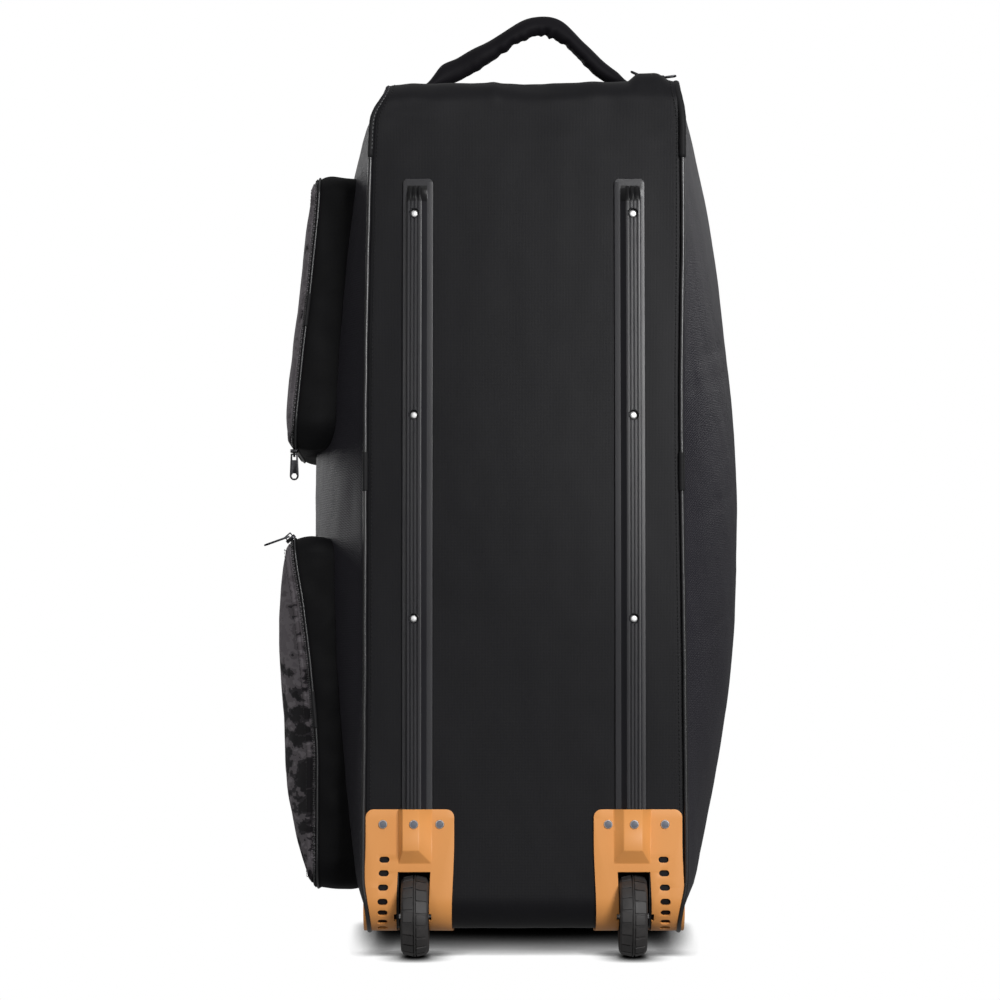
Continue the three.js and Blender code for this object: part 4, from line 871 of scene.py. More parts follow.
def build_piping():
    """The piping along both seams, the sleeves sewn round it, and the stitches beside it."""
    places = BODY.lap(7, 16)[:-1]
    for edge, sign in SIGNS.items():
        path = []
        for place in places:
            middle, out = seam_point(edge, place)
            wander = 0.35 * ripple(place, 0, 45, 70.0 + sign)
            path.append((middle + Vector((wander, 0, 0)), out))
        piping = tube(path, PIPING_RADIUS, 12, closed=True)
        add_piece(f"piping_tube_{edge}", piping, "piping", replaces=[f"piping_{edge}"])
        for sleeve, ends in SLEEVES.items():
            def wide(row, swell=SLEEVE_SWELL[sleeve][edge]):
                return PIPING_RADIUS * 1.22 + swell + 0.12 * math.sin(row * 1.9) - 0.5 * hump(row, 0, 0.8)

            binding = tube([seam_point(edge, place) for place in steps(*ends, 30)], wide, 14)
            replaces = [f"{sleeve}_sleeve_{edge}"]
            add_piece(f"{sleeve}_binding_{edge}", binding, "sleeve_cloth", replaces=replaces)
        start, end = SLEEVES["top"]
        seam = [
            (middle - Vector((sign * 1.6, 0, 0)) + out * 2.7, out)
            for middle, out in (seam_point(edge, place) for place in steps(start + 8, end, 30))
        ]
        stitch_row(f"binding_stitches_{edge}", seam, 4.4, "pale_thread", (0.7, 2.4, 0.6))

        def beside_seam(place, edge=edge, sign=sign):
            return sign * (rim(edge, BODY.at(place)[1]) - 5.5)

        inner = strip_path(BACK_ENDS[0] + 75, BACK_ENDS[1] - 6, beside_seam, 240, 0.1)
        stitch_row(f"back_edge_stitches_{edge}", inner, 4.4)


# Rails, their rivets and the corner plates
RAIL_FLANGE = 1.9
RIDGE = 7.2
GROOVES = (8.8, 12.7, 16.5)


def rail_section():
    """The rail cut across, as (across, height): a flange, the grooved ridge, a slope and the inner flange."""
    flange = [(0, 0), (0, 1.3), (0.35, 1.75), (0.9, RAIL_FLANGE)]
    section = [*flange, (4.3, RAIL_FLANGE), (4.6, 2.2), (4.9, 6.3), (5.1, 6.9), (5.6, RIDGE), (6.9, 7.25)]
    for groove, next_crown in zip(GROOVES, (10.7, 14.6, 18.7)):
        section += [(groove - 0.8, RIDGE), (groove - 0.45, 6.9), (groove - 0.25, 6.0)]
        section += [(groove + 0.25, 6.0), (groove + 0.45, 6.9), (groove + 0.8, RIDGE), (next_crown, 7.25)]
    section += [(20.2, RIDGE), (20.8, 7.0), (21.2, 6.5), (26.2, 2.3), (26.6, 1.95), (27.2, RAIL_FLANGE)]
    return section + [(RAIL_WIDTH - across, height) for across, height in reversed(flange)]


RAIL_SECTION = rail_section()
# The bounds of the painted shade on each rail's ramp: across the rail, and down from its top.
RAMP_SIDES = (4.4, 26.3)
RIB_MIDDLES = (8.2, 13.2, 18.2)
RIDGE_START = 8.6
RIDGE_SLOPE = 16.5
RAMP_PLACES = (RIDGE_START - 0.5, RIDGE_START + RIDGE_SLOPE + 0.4)
RAIL_RIVET_ACROSS = 12.8
RAIL_INSET = 2.2
RAIL_CORNER = 7.0
RAIL_END = 1.2
RAIL_HOLE_RADIUS = 5.5
RAIL_HOLE_FLOOR = 1.2
RAIL_RIVET_RADIUS = 4.0
RAIL_RIVET_HEAD = [
    (0, 3.2), (2.4, 3.15), (3.4, 2.8), (RAIL_RIVET_RADIUS - 0.1, 2.3), (RAIL_RIVET_RADIUS, 1.6),
    (RAIL_RIVET_RADIUS, 0.6),
]
RAIL_HOLE_WALL = [
    (RAIL_HOLE_RADIUS + 0.5, 5.4), (RAIL_HOLE_RADIUS + 0.45, 7.1), (RAIL_HOLE_RADIUS + 0.1, 7.25),
    (RAIL_HOLE_RADIUS - 0.3, 6.9), (RAIL_HOLE_RADIUS - 0.4, 1.3),
]


def rail_x(sign, across):
    """From millimetres across the rail, counted from its outer edge, to the bag's x."""
    return sign * (WHEEL_OFFSET - RAIL_INSET + RAIL_WIDTH / 2 - across)


def rail_height(across, level, from_top):
    """The rail's height: its section, with the ridge rising from the flange in lobes near the rail's top."""
    if level <= RAIL_FLANGE:
        return level
    rib = min(abs(across - middle) for middle in RIB_MIDDLES)
    groove = min(rib / 2.7, 1) ** 2
    raised = min(max((from_top - RIDGE_START - 2.8 * groove) / (RIDGE_SLOPE - 2.8 * groove), 0), 1)
    lobe = 1.3 * math.sin(math.pi * raised) * (1 - groove)
    return mix(RAIL_FLANGE, level, raised ** 0.85) + lobe


def rail_point(sign, column, walked, rail_top, rivet_places):
    """A point of a rail's skin. Its top corners are round, and each rivet stands in a sunk round seat."""
    across, level = RAIL_SECTION[column]
    from_top = rail_top - walked
    if from_top < RAIL_CORNER:
        pull = RAIL_CORNER - math.sqrt(max(RAIL_CORNER ** 2 - (RAIL_CORNER - from_top) ** 2, 0))
        across = min(max(across, pull), RAIL_WIDTH - pull)
    height = rail_height(across, level, from_top)
    if from_top == 0:
        height = min(height, RAIL_END if level else 0.0)
    for seat in rivet_places:
        reach = math.hypot(across - RAIL_RIVET_ACROSS, walked - seat)
        if RAIL_HOLE_RADIUS - 0.4 < reach < RAIL_HOLE_RADIUS + 0.6:
            push = (RAIL_HOLE_RADIUS + 0.25) / reach
            across = RAIL_RIVET_ACROSS + (across - RAIL_RIVET_ACROSS) * push
            walked = seat + (walked - seat) * push
        elif reach < RAIL_HOLE_RADIUS:
            height = min(height, RAIL_HOLE_FLOOR)
    return strip_point_at(walked, rail_x(sign, across), CLOTH_TOUCH + height), (across * MM, walked * MM)


def build_rails():
    rail_top = place_on_back(RAIL_TOP)
    rivet_places = [place_on_back(PLATE_RIVET_HEIGHT + count * RIVET_PITCH) for count in (1, 2, 3)]
    along = set(steps(place_on_back(RAIL_FOOT), rail_top, 70))
    along |= set(steps(rail_top - 34, rail_top, 46))
    for place in rivet_places:
        along |= set(steps(place - 7, place + 7, 20))
    along = sorted(along)
    columns = list(range(len(RAIL_SECTION)))
    for edge, sign in SIGNS.items():
        mesh = shaped_grid(
            columns, along,
            lambda column, walked, sign=sign: rail_point(sign, column, walked, rail_top, rivet_places),
        )
        face_backwards(mesh)
        ramp = [rail_top - reach for reach in RAMP_PLACES]
        ramp_sides = sorted(rail_x(sign, across) for across in RAMP_SIDES)
        # The ramp faces, where the ridge rises near the rail's top, take the darker copy of the rail's plastic:
        # painted shade.
        dark = [
            ramp[1] < place_on_back(middle.z) < ramp[0] and ramp_sides[0] < middle.x < ramp_sides[1]
            for middle in (face.calc_center_median() for face in mesh.faces)
        ]
        replaces = [f"rail_{edge}"]
        rail = add_piece(f"ribbed_rail_{edge}", mesh, "rail_plastic", replaces=replaces, sharp=32, thick=0.7)
        rail.data.materials.append(FINISHES["rail_ramp_painted_shade"])
        rail.data.polygons.foreach_set("material_index", [int(face) for face in dark])
        for count, walked in enumerate(rivet_places):
            def seat(lift, walked=walked, sign=sign):
                return strip_point_at(walked, rail_x(sign, RAIL_RIVET_ACROSS), CLOTH_TOUCH + lift)

            at = f"{edge}_{count + 1}"
            place_turned(
                f"rail_rivet_head_{at}", RAIL_RIVET_HEAD, seat, "rail_rivet_steel",
                [f"rail_rivet_{at}"],
            )
            place_turned(f"rail_hole_wall_{at}", RAIL_HOLE_WALL, seat, "rail_plastic")


def spin_profile(profile, sides=28):
    """A turned shape about Z from (radius, height) points."""
    mesh = bmesh.new()
    verts = [mesh.verts.new((radius, 0, height)) for radius, height in profile]
    edges = [mesh.edges.new(pair) for pair in zip(verts, verts[1:])]
    bmesh.ops.spin(
        mesh, geom=[*verts, *edges], cent=(0, 0, 0), axis=(0, 0, 1), angle=FULL, steps=sides, use_merge=True,
    )
    bmesh.ops.remove_doubles(mesh, verts=mesh.verts, dist=1e-4)
    bmesh.ops.recalc_face_normals(mesh, faces=mesh.faces)
    return mesh


def place_turned(name, profile, seat, finish, replaces=()):
    """A turned piece, open below, that stands on a seat, which gives a point at each lift."""
    mesh = spin_profile(profile)
    top = max(mesh.verts, key=lambda vertex: vertex.co.z)
    facing = [face for face in top.link_faces if abs(face.normal.z) > 0.05]
    if facing and facing[0].normal.z < 0:
        bmesh.ops.reverse_faces(mesh, faces=mesh.faces)
    foot = seat(0)
    turn = Vector((0, 0, 1)).rotation_difference((seat(1) - foot).normalized())
    bmesh.ops.transform(mesh, matrix=Matrix.Translation(foot) @ turn.to_matrix().to_4x4(), verts=mesh.verts)
    add_piece(name, mesh, finish, replaces=replaces, sharp=40)


def arc(x, y, radius, start, end, count):
    """Points round part of a circle, with its angles in quarter turns."""
    return [
        (x + radius * math.cos(angle * QUARTER), y + radius * math.sin(angle * QUARTER))
        for angle in steps(start, end, count)
    ]


PLATE_CORNER = 8.5
PLATE_NOTCH = (-26, -17.5)
PLATE_NOTCH_DEPTH = 2.5
PLATE_SLOTS = (40.2, 25.7, 10.4, -4.7, -16.4, -27.7, -38.5)
PLATE_SLOT = (11.0, 6.6)
PLATE_SLOT_OUT = 32.4
PLATE_RIVETS = (-26.6, 1.2, 34.5)
PLATE_RIVET_RING = [(3.5, 0.7), (3.6, 1.1), (3.8, 1.35), (4.4, 1.3), (4.75, 0.9), (4.9, 0.3), (4.9, 0.05)]
PLATE_RIVET_CORE = [(0, 0.95), (3.0, 0.9), (3.55, 0.75), (3.55, 0.4)]
PLATE_RIDGE_HEIGHT = 65.5


def plate_outline():
    """A corner plate laid out flat, with its wheel's cutout: across, and the place along the body."""
    half = PLATE_WIDTH / 2
    top = place_on_back(PLATE_TOP)
    foot = -FOOT_ARC - PLATE_UNDER
    low, high = PLATE_NOTCH
    outer = [(-half, foot)]
    outer += arc(-half + PLATE_CORNER, top - PLATE_CORNER, PLATE_CORNER, 2, 1, 8)
    outer += arc(half - PLATE_CORNER, top - PLATE_CORNER, PLATE_CORNER, 1, 0, 8)
    outer.append((half, foot))
    cutout = []
    for side in (1, -1):
        flank = -PLATE_SHIFT + side * CUTOUT_HALF
        notch = flank + side * PLATE_NOTCH_DEPTH
        run = [(flank, foot), (flank, low), (notch, low), (notch, high), (flank, high)]
        run.append((flank, place_on_back(CUTOUT_TOP)))
        cutout += run[::side]
    return outer + cutout


def slot_outline(x, place):
    radius = PLATE_SLOT[1] / 2
    reach = PLATE_SLOT[0] / 2 - radius
    return arc(x + reach, place, radius, -1, 1, 8) + arc(x - reach, place, radius, 1, 3, 8)


def plate_lean(walked):
    """How far the plate has slipped outwards towards its foot."""
    return 2.6 * (1 - ease(walked, -20, 60)) - 1.8 * (1 - ease(walked, -70, -40))


def build_plates():
    for edge, sign in SIGNS.items():
        mesh = bmesh.new()
        loops = [plate_outline()]
        loops += [slot_outline(PLATE_SLOT_OUT - PLATE_SHIFT, slot_place) for slot_place in PLATE_SLOTS]
        for outline in loops:
            verts = [mesh.verts.new((x, place, 0)) for x, place in outline]
            for start, end in zip(verts, verts[1:] + verts[:1]):
                mesh.edges.new((start, end))
        bmesh.ops.triangle_fill(mesh, use_beauty=True, use_dissolve=False, edges=mesh.edges)
        for row in [*steps(-FOOT_ARC - PLATE_UNDER + 4, 0, 22), *steps(10, 84, 8)]:
            geometry = [*mesh.verts, *mesh.edges, *mesh.faces]
            bmesh.ops.bisect_plane(mesh, geom=geometry, plane_co=(0, row, 0), plane_no=(0, 1, 0))
        for vertex in mesh.verts:
            across, walked = vertex.co.x, vertex.co.y
            y, z, ny, nz = BODY.at(walked)
            ridge = 0.9 * hump(walked, place_on_back(PLATE_RIDGE_HEIGHT), 2.4)
            ridge *= 1 - ease(abs(across + PLATE_SHIFT), 15, 26)
            lift = PLATE_SEAT + ridge + 0.25 * ripple(across, walked, 30, 80.0)
            x = sign * (WHEEL_OFFSET + PLATE_SHIFT + across + plate_lean(walked))
            vertex.co = (x, y + ny * lift, z + nz * lift)
        face_backwards(mesh)
        replaces = [f"corner_plate_{edge}"]
        plate = add_piece(f"bent_plate_{edge}", mesh, "orange_plastic", replaces=replaces, sharp=30, thick=PLATE)
        round_edges(plate, 0.6, 50)
        build_hood(edge, sign)
        for count, outwards in enumerate(PLATE_RIVETS[::sign]):
            high = HOOD_HEIGHT if count == 1 else 0.0

            def seat(lift, high=high, x=sign * (WHEEL_OFFSET + outwards)):
                return Vector((x, -PLATE_SEAT - high - lift, PLATE_RIVET_HEIGHT - 1))

            at = f"{edge}_{count + 1}"
            place_turned(
                f"plate_rivet_head_{at}", PLATE_RIVET_RING, seat, "rivet_steel",
                [f"plate_rivet_{at}"],
            )
            place_turned(f"plate_rivet_core_{at}", PLATE_RIVET_CORE, seat, "rivet_core")


# The hoods, outwards from the wheel: where the flat top starts and ends, and where the flanks reach the plate
HOODS = {
    "left": {"flat": (-4.3, 13.3), "foot": (-17.6, 17.4)},
    "right": {"flat": (-10.0, 9.9), "foot": (-20.2, 18.5)},
}


def build_hood(edge, sign):
    """The raised hood over the rail's foot: a block with sloped flanks, open behind and at the top."""
    hood = HOODS[edge]
    mesh = bmesh.new()
    bmesh.ops.create_cube(mesh, size=1)
    for vertex in mesh.verts:
        outer, upper = vertex.co.y < 0, vertex.co.z > 0
        outwards = hood["flat" if outer else "foot"][int(vertex.co.x > 0)]
        height = PLATE_TOP if upper else (HOOD_SHOULDER if outer else HOOD_FOOT)
        lift = PLATE_SEAT + (HOOD_HEIGHT if outer else 0.1)
        vertex.co = (outwards, -lift, height)
    gone = [face for face in mesh.faces if face.normal.y > 0.9 or face.normal.z > 0.9]
    bmesh.ops.delete(mesh, geom=gone, context="FACES")
    base = [
        edge for edge in mesh.edges
        if edge.is_boundary and all(vertex.co.y > -PLATE_SEAT - 1 for vertex in edge.verts)
    ]
    grown = bmesh.ops.extrude_edge_only(mesh, edges=base)["geom"]
    for vertex in (part for part in grown if isinstance(part, bmesh.types.BMVert)):
        vertex.co.x += math.copysign(2.4, vertex.co.x)
        if vertex.co.z < PLATE_TOP - 1:
            vertex.co.z -= 2.6
        vertex.co.y += 0.35
    mesh.normal_update()
    inner_edges = [edge for edge in mesh.edges if not edge.is_boundary]
    bevel_edges(mesh, inner_edges, 1.1, 3)
    for vertex in mesh.verts:
        vertex.co.x = sign * (WHEEL_OFFSET + vertex.co.x)
    face_backwards(mesh)
    add_piece(f"plate_hood_{edge}", mesh, "orange_plastic", sharp=38, thick=1.7)


# Wheels. Each profile is half of a section, as (radius, across), from the edge to the middle or from the bore out
TYRE_HALF = [
    (RIM_RADIUS, 12.6), (31.5, 13.6), (34.5, 14.8), (37.5, 14.9), (39.6, 13.6), (40.9, 11.4), (41.7, 8), (42.0, 4),
    (42.1, 1.1), (42.9, 0.9), (43.9, 0.5),
]
HUB_HALF = [(3.25, 13.8), (7.0, 13.8), (7.8, 13.2), (8.2, 6), (24.5, 6), (25.6, 11.2), (26.2, 12), (29.7, 12)]
TREAD_BLOCKS = 20
TREAD_ACROSS = (2.1, 12.3)
TREAD_FOOT = 38.5
TREAD_EDGE = 40.6
RIM_BARS = 6
RIM_BAR_MIDDLE = 16.2
RIM_BAR = (17, 3.2, 19)


def mirrored_section(half, middle=()):
    """A whole section, closed, from its half."""
    return [(radius, -across) for radius, across in half] + [*middle, *reversed(half), (half[0][0], -half[0][1])]


def tread_radius(across):
    """How far the blocks' tops lie from the axle, over the tyre's rounded section."""
    return WHEEL_RADIUS - 0.1 - 0.0155 * across ** 2


def add_tread_block(mesh, count, side):
    """One block on the tyre's left or right half. The right half's blocks are a quarter step further round."""
    turn = FULL / TREAD_BLOCKS
    block = bmesh.ops.create_cube(mesh, size=1)["verts"]
    around = (count + (0.25 if side > 0 else 0.0)) * turn
    for vertex in block:
        outer = vertex.co.x > 0
        across = side * TREAD_ACROSS[int(vertex.co.z > 0)]
        angle = around + (0.4 if outer else 0.44) * math.copysign(1, vertex.co.y) * turn
        radius = tread_radius(across) if outer else TREAD_FOOT
        vertex.co = (radius * math.cos(angle), radius * math.sin(angle), across)
    edges = {edge for vertex in block for edge in vertex.link_edges}
    top = [edge for edge in edges if all(vertex.co.xy.length > TREAD_EDGE for vertex in edge.verts)]
    bevel_edges(mesh, top, 0.55, 2)


def build_wheels():
    for edge, sign in SIGNS.items():
        to_axle = Matrix.Translation((sign * WHEEL_OFFSET, AXLE_DEPTH, AXLE_HEIGHT))
        to_axle @= Matrix.Rotation(QUARTER, 4, "Y")
        tyre = spin_profile(mirrored_section(TYRE_HALF, [(WHEEL_RADIUS, 0)]), 80)
        for count in range(TREAD_BLOCKS):
            for side in (-1, 1):
                add_tread_block(tyre, count, side)
        bmesh.ops.recalc_face_normals(tyre, faces=tyre.faces)
        hub = spin_profile(mirrored_section(HUB_HALF), 64)
        for count in range(RIM_BARS):
            turn = Matrix.Rotation(count * FULL / RIM_BARS, 4, "Z")
            bar = turn @ Matrix.Translation((RIM_BAR_MIDDLE, 0, 0)) @ Matrix.Diagonal((*RIM_BAR, 1))
            bmesh.ops.create_cube(hub, size=1, matrix=bar)
        for name, node, mesh, finish in (
            ("treaded_tyre", "tyre", tyre, "tyre_rubber"), ("wheel_hub", "hub", hub, "hub_plastic"),
        ):
            bmesh.ops.transform(mesh, matrix=to_axle, verts=mesh.verts)
            replaces = [f"{node}_{edge}"]
            add_piece(f"{name}_{edge}", mesh, finish, body=f"wheel_{edge}", replaces=replaces, sharp=35)


# The padded carry handle: across and up as shares of its span and rise, and how full its padding is there
HANDLE_LINE = [
    (-0.5, 0, 0), (-0.46, 0, 0.3), (-0.42, 0.015, 0.8), (-0.365, 0.075, 1.35), (-0.292, 0.185, 1.42),
    (-0.21, 0.365, 1.28), (-0.136, 0.55, 1.15), (-0.05, 0.76, 1.12), (0.038, 0.892, 1.26),
    (0.115, 0.868, 1.28), (0.19, 0.715, 1.06), (0.262, 0.47, 0.95), (0.325, 0.23, 0.95), (0.4, 0.05, 0.85),
    (0.455, 0, 0.35), (0.5, 0, 0),
]
HANDLE_LENGTH = 330
HANDLE_FULLEST = 1.45


def smooth_line(points, share):
    """A point on a smooth line through points, at a share of its way."""
    place = share * (len(points) - 1)
    index = min(int(place), len(points) - 2)
    local = place - index
    before, here, ahead, beyond = (
        Vector(points[min(max(index + step, 0), len(points) - 1)]) for step in (-1, 0, 1, 2)
    )
    return (
        here * 2 + (ahead - before) * local + (before * 2 - here * 5 + ahead * 4 - beyond) * local ** 2
        + (here * 3 - before - ahead * 3 + beyond) * local ** 3
    ) / 2


def build_handle():
    points = [(across * HANDLE_SPAN, rise * HANDLE_RISE, full) for across, rise, full in HANDLE_LINE]
    seat = place_on_top(HANDLE_DEPTH)

    def place(turn, share):
        here = smooth_line(points, share)
        ahead = smooth_line(points, min(share + 0.004, 1)) - smooth_line(points, max(share - 0.004, 0))
        full = min(max(here.z, 0), HANDLE_FULLEST)
        square = Vector((-ahead.y, ahead.x)).normalized()
        angle = turn * FULL
        along = share * HANDLE_LENGTH
        underside = max(-math.sin(angle), 0) ** 0.7
        middle = hump(share, 0.54, 0.2)
        pleats = (ripple(along, 0, 7.5, 90.0) - 0.25) * middle * underside * 4.4
        creases = ripple(along * 0.6, math.cos(angle) * 22, 12, 91.0) * min(full, 1) * mix(0.25, 1.0, middle)
        swell = 1 + 0.02 * math.sin(along * 0.13) * full
        tall = (mix(4, 19, full) / 2) * swell
        wide = (mix(34, 25, full) / 2) * swell
        grow = pleats + creases
        point = strip_point_at(
            seat + math.cos(angle) * (wide + grow), HANDLE_CENTRE + here.x, CLOTH_TOUCH + tall,
        )
        lift = math.sin(angle) * (tall + grow)
        point.x += square.x * lift
        point.z += square.y * lift + max(here.y, 0)
        return point, (turn * 0.07, along * MM)

    mesh = shaped_grid(steps(0, 1, 30), steps(0, 1, 170), place, closed=True)
    close_ends(mesh)
    handle = add_piece("padded_handle", mesh, "handle_cloth", replaces=["carry_handle"])
    for side, x_sign in (("left", -1), ("right", 1)):
        path = []
        middle_x = HANDLE_CENTRE + x_sign * HANDLE_SPAN * 0.472
        for across, along in ((-1, -1), (1, -1), (1, 1), (-1, 1), (-1, -1), (1, 1)):
            x, walked = middle_x + across * 4.5, seat + along * 13
            point = strip_point_at(walked, x, CLOTH_TOUCH + 4.1)
            path.append((point, (strip_point_at(walked, x, CLOTH_TOUCH + 5.1) - point).normalized()))
        stitch_row(f"handle_tack_{side}", path, 3.4, "thread")


# Pockets on the left side
FLAP_REACH = 0.98
FLAP_RISE = 3.6
FACE_FULLNESS = 2.4
FACE_STITCH_INSET = 6.5
POCKETS = {
    "upper": {
        "foot": 525, "top": 824, "crown": 10, "sag": 0.42, "seed": 100.0,
        "seam": [(0, 1.11), (0.3, 1.08), (0.65, 1.03), (1, 0.995)], "joined": (658, 694),
    },
    "lower": {
        "foot": 42, "top": 424, "crown": 33, "sag": 0.46, "seed": 120.0,
        "seam": [(0, 0.995), (0.35, 0.995), (0.6, 1.025), (0.8, 1.065), (1, 1.11)], "joined": (216, 256),
    },
}


def pocket_seam(pocket, z):
    """How far a pocket's front seam lies from the bag's middle."""
    share = (z - pocket["foot"]) / (pocket["top"] - pocket["foot"])
    return POCKET_SEAM_REACH * read_table(pocket["seam"], share)


def pocket_path(pocket, loop, out, away, places):
    """A line round a pocket, this far out from its outline and away from its seam."""
    path = []
    for place in places:
        y, z, ny, nz = loop.at(place)
        point = Vector((-pocket_seam(pocket, z) - away, y + ny * out, z + nz * out))
        path.append((point, Vector((-0.7, ny * 0.7, nz * 0.7)).normalized()))
    return path


def build_pocket(name, pocket):
    loop = RoundedLoop(
        POCKET_NEAR, POCKET_FAR, pocket["foot"], pocket["top"],
        (POCKET_TOP_RADIUS, POCKET_TOP_RADIUS, POCKET_CORNER_RADIUS, POCKET_CORNER_RADIUS),
    )
    seed = pocket["seed"]
    slope = ZIP_WIDTH * math.sqrt(0.5)
    middle_y, middle_z = loop.centre[0], mix(pocket["foot"], pocket["top"], pocket["sag"])
    centre = (-POCKET_SEAM_REACH, middle_y, middle_z)
    places = loop.lap(5, 12)

    def gusset_point(share, walked):
        y, z, ny, nz = loop.at(walked)
        start = side_inside("left", y, z) - CLOTH
        reach = mix(start, pocket_seam(pocket, z), share)
        bulge = 4 * share * (1 - share)
        folds = Vector((reach * 1.2, y * 0.7, z * 0.8)) / 46 + Vector((0, 0, seed))
        creases = Vector((reach + z, y, z * 1.4)) / 24 + Vector((0, 0, seed + 1))
        relief = 3.6 * bulge * noise.noise(folds) + 1.6 * bulge * noise.noise(creases)
        relief += -0.8 * hump(share, 1, 0.05) + 2.2 * bulge
        if nz < -0.2:
            relief += 1.4 * bulge * -nz * noise.noise(Vector((reach * 0.4, y * 2.4, seed)) / 14)
        return Vector((-reach, y + ny * relief, z + nz * relief)), (walked * MM, reach * MM)

    gusset_steps = steps(0, 0.94, 14) + [0.97, 0.985, 1]
    gusset = shaped_grid(gusset_steps, places, gusset_point, closed=True, centre=centre)
    # The pocket sides' darkened cloth carries painted shade.
    add_piece(f"{name}_pocket_sides", gusset, "gusset_cloth", replaces=[f"{name}_pocket_gusset"], thick=CLOTH)

    beading = pocket_path(pocket, loop, 0.5, 0.2, places[:-1])
    add_piece(f"{name}_pocket_beading", tube(beading, 1.35, 8, closed=True), "piping")
    zip_line = pocket_path(pocket, loop, -slope / 2 + 0.4, slope / 2 + 0.5, loop.lap(3.5, 14))
    zip_chain(f"{name}_pocket_zip", zip_line, replaces=[f"{name}_pocket_zip"])

    def face_point(ring, walked):
        y, z, ny, nz = loop.at(walked)
        y, z = mix(middle_y, y - ny * slope, ring), mix(middle_z, z - nz * slope, ring)
        full = pocket["crown"] * (1 - ring ** FACE_FULLNESS)
        free = ease(1 - ring, 0, 0.1)
        relief = 2.2 * ripple(y, z * 0.8, 80, seed + 4) + 0.9 * ripple(y * 1.5, z + y * 0.4, 30, seed + 5)
        pull = -0.9 * hump(1 - ring, 0, 0.012) + 0.8 * hump(1 - ring, 0.035, 0.02)
        away = pocket_seam(pocket, z) + slope + 2 * TOUCH + full + CLOTH + relief * free + pull
        return Vector((-away, y, z)), (y * MM, z * MM)

    def front_point(ring, walked):
        """The front, whose edge laps over the zip along the two upright sides."""
        if ring <= 1:
            return face_point(ring, walked)
        edge_point, cloth_place = face_point(1, walked)
        y, z, ny, nz = loop.at(walked)
        lap = FLAP_REACH * (ring - 1) * ease(abs(ny), 0.6, 0.95)
        away = pocket_seam(pocket, z) + 2.6 + FLAP_RISE * (1 - lap)
        tucked = Vector((-away, y - ny * 0.7, z - nz * 0.7))
        across = cloth_place[0] - math.copysign(0.009, -ny) * lap
        return edge_point.lerp(tucked, lap), (across, cloth_place[1])

    rings = [1.999, 1.97, 1.9, 1.7, 1.4, 1.15, 1, 0.986, 0.975, 0.96, 0.94, 0.915] + steps(0.88, 0, 22)
    face = shaped_grid(rings, loop.lap(6, 12), front_point, closed=True, centre=centre)
    add_piece(f"{name}_pocket_front", face, "camouflage_cloth", replaces=[f"{name}_pocket_face"], thick=CLOTH)
    joined = [height - pocket["foot"] - POCKET_CORNER_RADIUS for height in pocket["joined"]]
    join_path = pocket_path(pocket, loop, 0.3, 0.6, steps(*joined, 24))
    add_piece(f"{name}_pocket_binding", tube(join_path, 2.3, 12), "sleeve_cloth")
    for count, inset in enumerate((6.5,)):
        path = []
        for walked in loop.lap(6, 12):
            y, z, ny, nz = loop.at(walked)
            y, z = y - ny * (slope + inset), z - nz * (slope + inset)
            away = pocket_seam(pocket, z) + slope + 2 * TOUCH + CLOTH
            ring = 1 - inset / 118
            away += pocket["crown"] * (1 - ring ** 2.4) + 0.5
            path.append((Vector((-away, y, z)), Vector((-1, 0, 0))))
        stitch_row(f"{name}_pocket_stitches_{count + 1}", path, 4.2, "grey_thread", (0.6, 2.8, 0.5))


# Zips, sliders and pulls
TOP_PULL_SHARE = 0.62


def lid_zip_line():
    """The lid's zip goes up one side, across the top and down the other, with round corners."""
    wide = LID_ZIP_INSET * PANEL_HALF_WIDTH
    corner = wide * 0.42
    high, low = LID_MARK[0], LID_MARK[1]
    half = [(place, -wide) for place in steps(low, high + corner, 110)]
    for angle in steps(0, QUARTER, 14)[1:]:
        half.append((high + corner * (1 - math.sin(angle)), -wide + corner * (1 - math.cos(angle))))
    half += [(high, x) for x in steps(-wide + corner, 0, 14)[1:]]
    line = half + [(place, -x) for place, x in reversed(half[:-1])]
    path = []
    for place, x in line:
        point = strip_point_at(place, x, CLOTH_TOUCH)
        path.append((point, (strip_point_at(place, x, CLOTH_TOUCH + 1) - point).normalized()))
    return path


def top_zip_line():
    path = []
    for share in steps(*TOP_ZIP_SHARES, 60):
        place, x = place_on_top(TOP_ZIP_DEPTH), share * PANEL_HALF_WIDTH
        point = strip_point_at(place, x, CLOTH_TOUCH - 0.4)
        path.append((point, (strip_point_at(place, x, CLOTH_TOUCH + 1) - point).normalized()))
    return path


def rounded_copy(node, body, width=0.35, finish="zip_metal", shorter=1.0, towards=None):
    """A copy of one of the part's solids, merged, with its edges rounded, which takes its place."""
    mesh = bmesh.new()
    mesh.from_mesh(NODES[node].data)
    if towards is not None:
        middle = sum(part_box(towards), Vector()) / 2
        bmesh.ops.scale(mesh, vec=(shorter, 1, 1), space=Matrix.Translation(-middle), verts=mesh.verts)
    bmesh.ops.remove_doubles(mesh, verts=mesh.verts, dist=1e-6)
    bmesh.ops.dissolve_limit(mesh, angle_limit=math.radians(2), verts=mesh.verts, edges=mesh.edges)
    edges = [edge for edge in mesh.edges if edge.calc_face_angle(0) > math.radians(32)]
    bevel_edges(mesh, edges, width * MM, 2)
    return add_piece(f"rounded_{node}", mesh, finish, body=body, replaces=[node], sharp=50,
                     placed=True)


def build_zips():
    zip_chain("top_zip_line", top_zip_line(), replaces=["top_zip"])
    zip_chain("lid_zip_line", lid_zip_line(), replaces=["lid_zip"], wide=8)
    for zipper in ("upper_pocket", "lower_pocket", "top_inner", "top_outer", "lid"):
        slider, pull = f"{zipper}_slider", f"{zipper}_pull"
        rounded_copy(slider, "bag")
        if zipper.startswith("top"):
            rounded_copy(pull, pull, 0.25, shorter=TOP_PULL_SHARE, towards=slider)
        else:
            rounded_copy(pull, pull, 0.25)


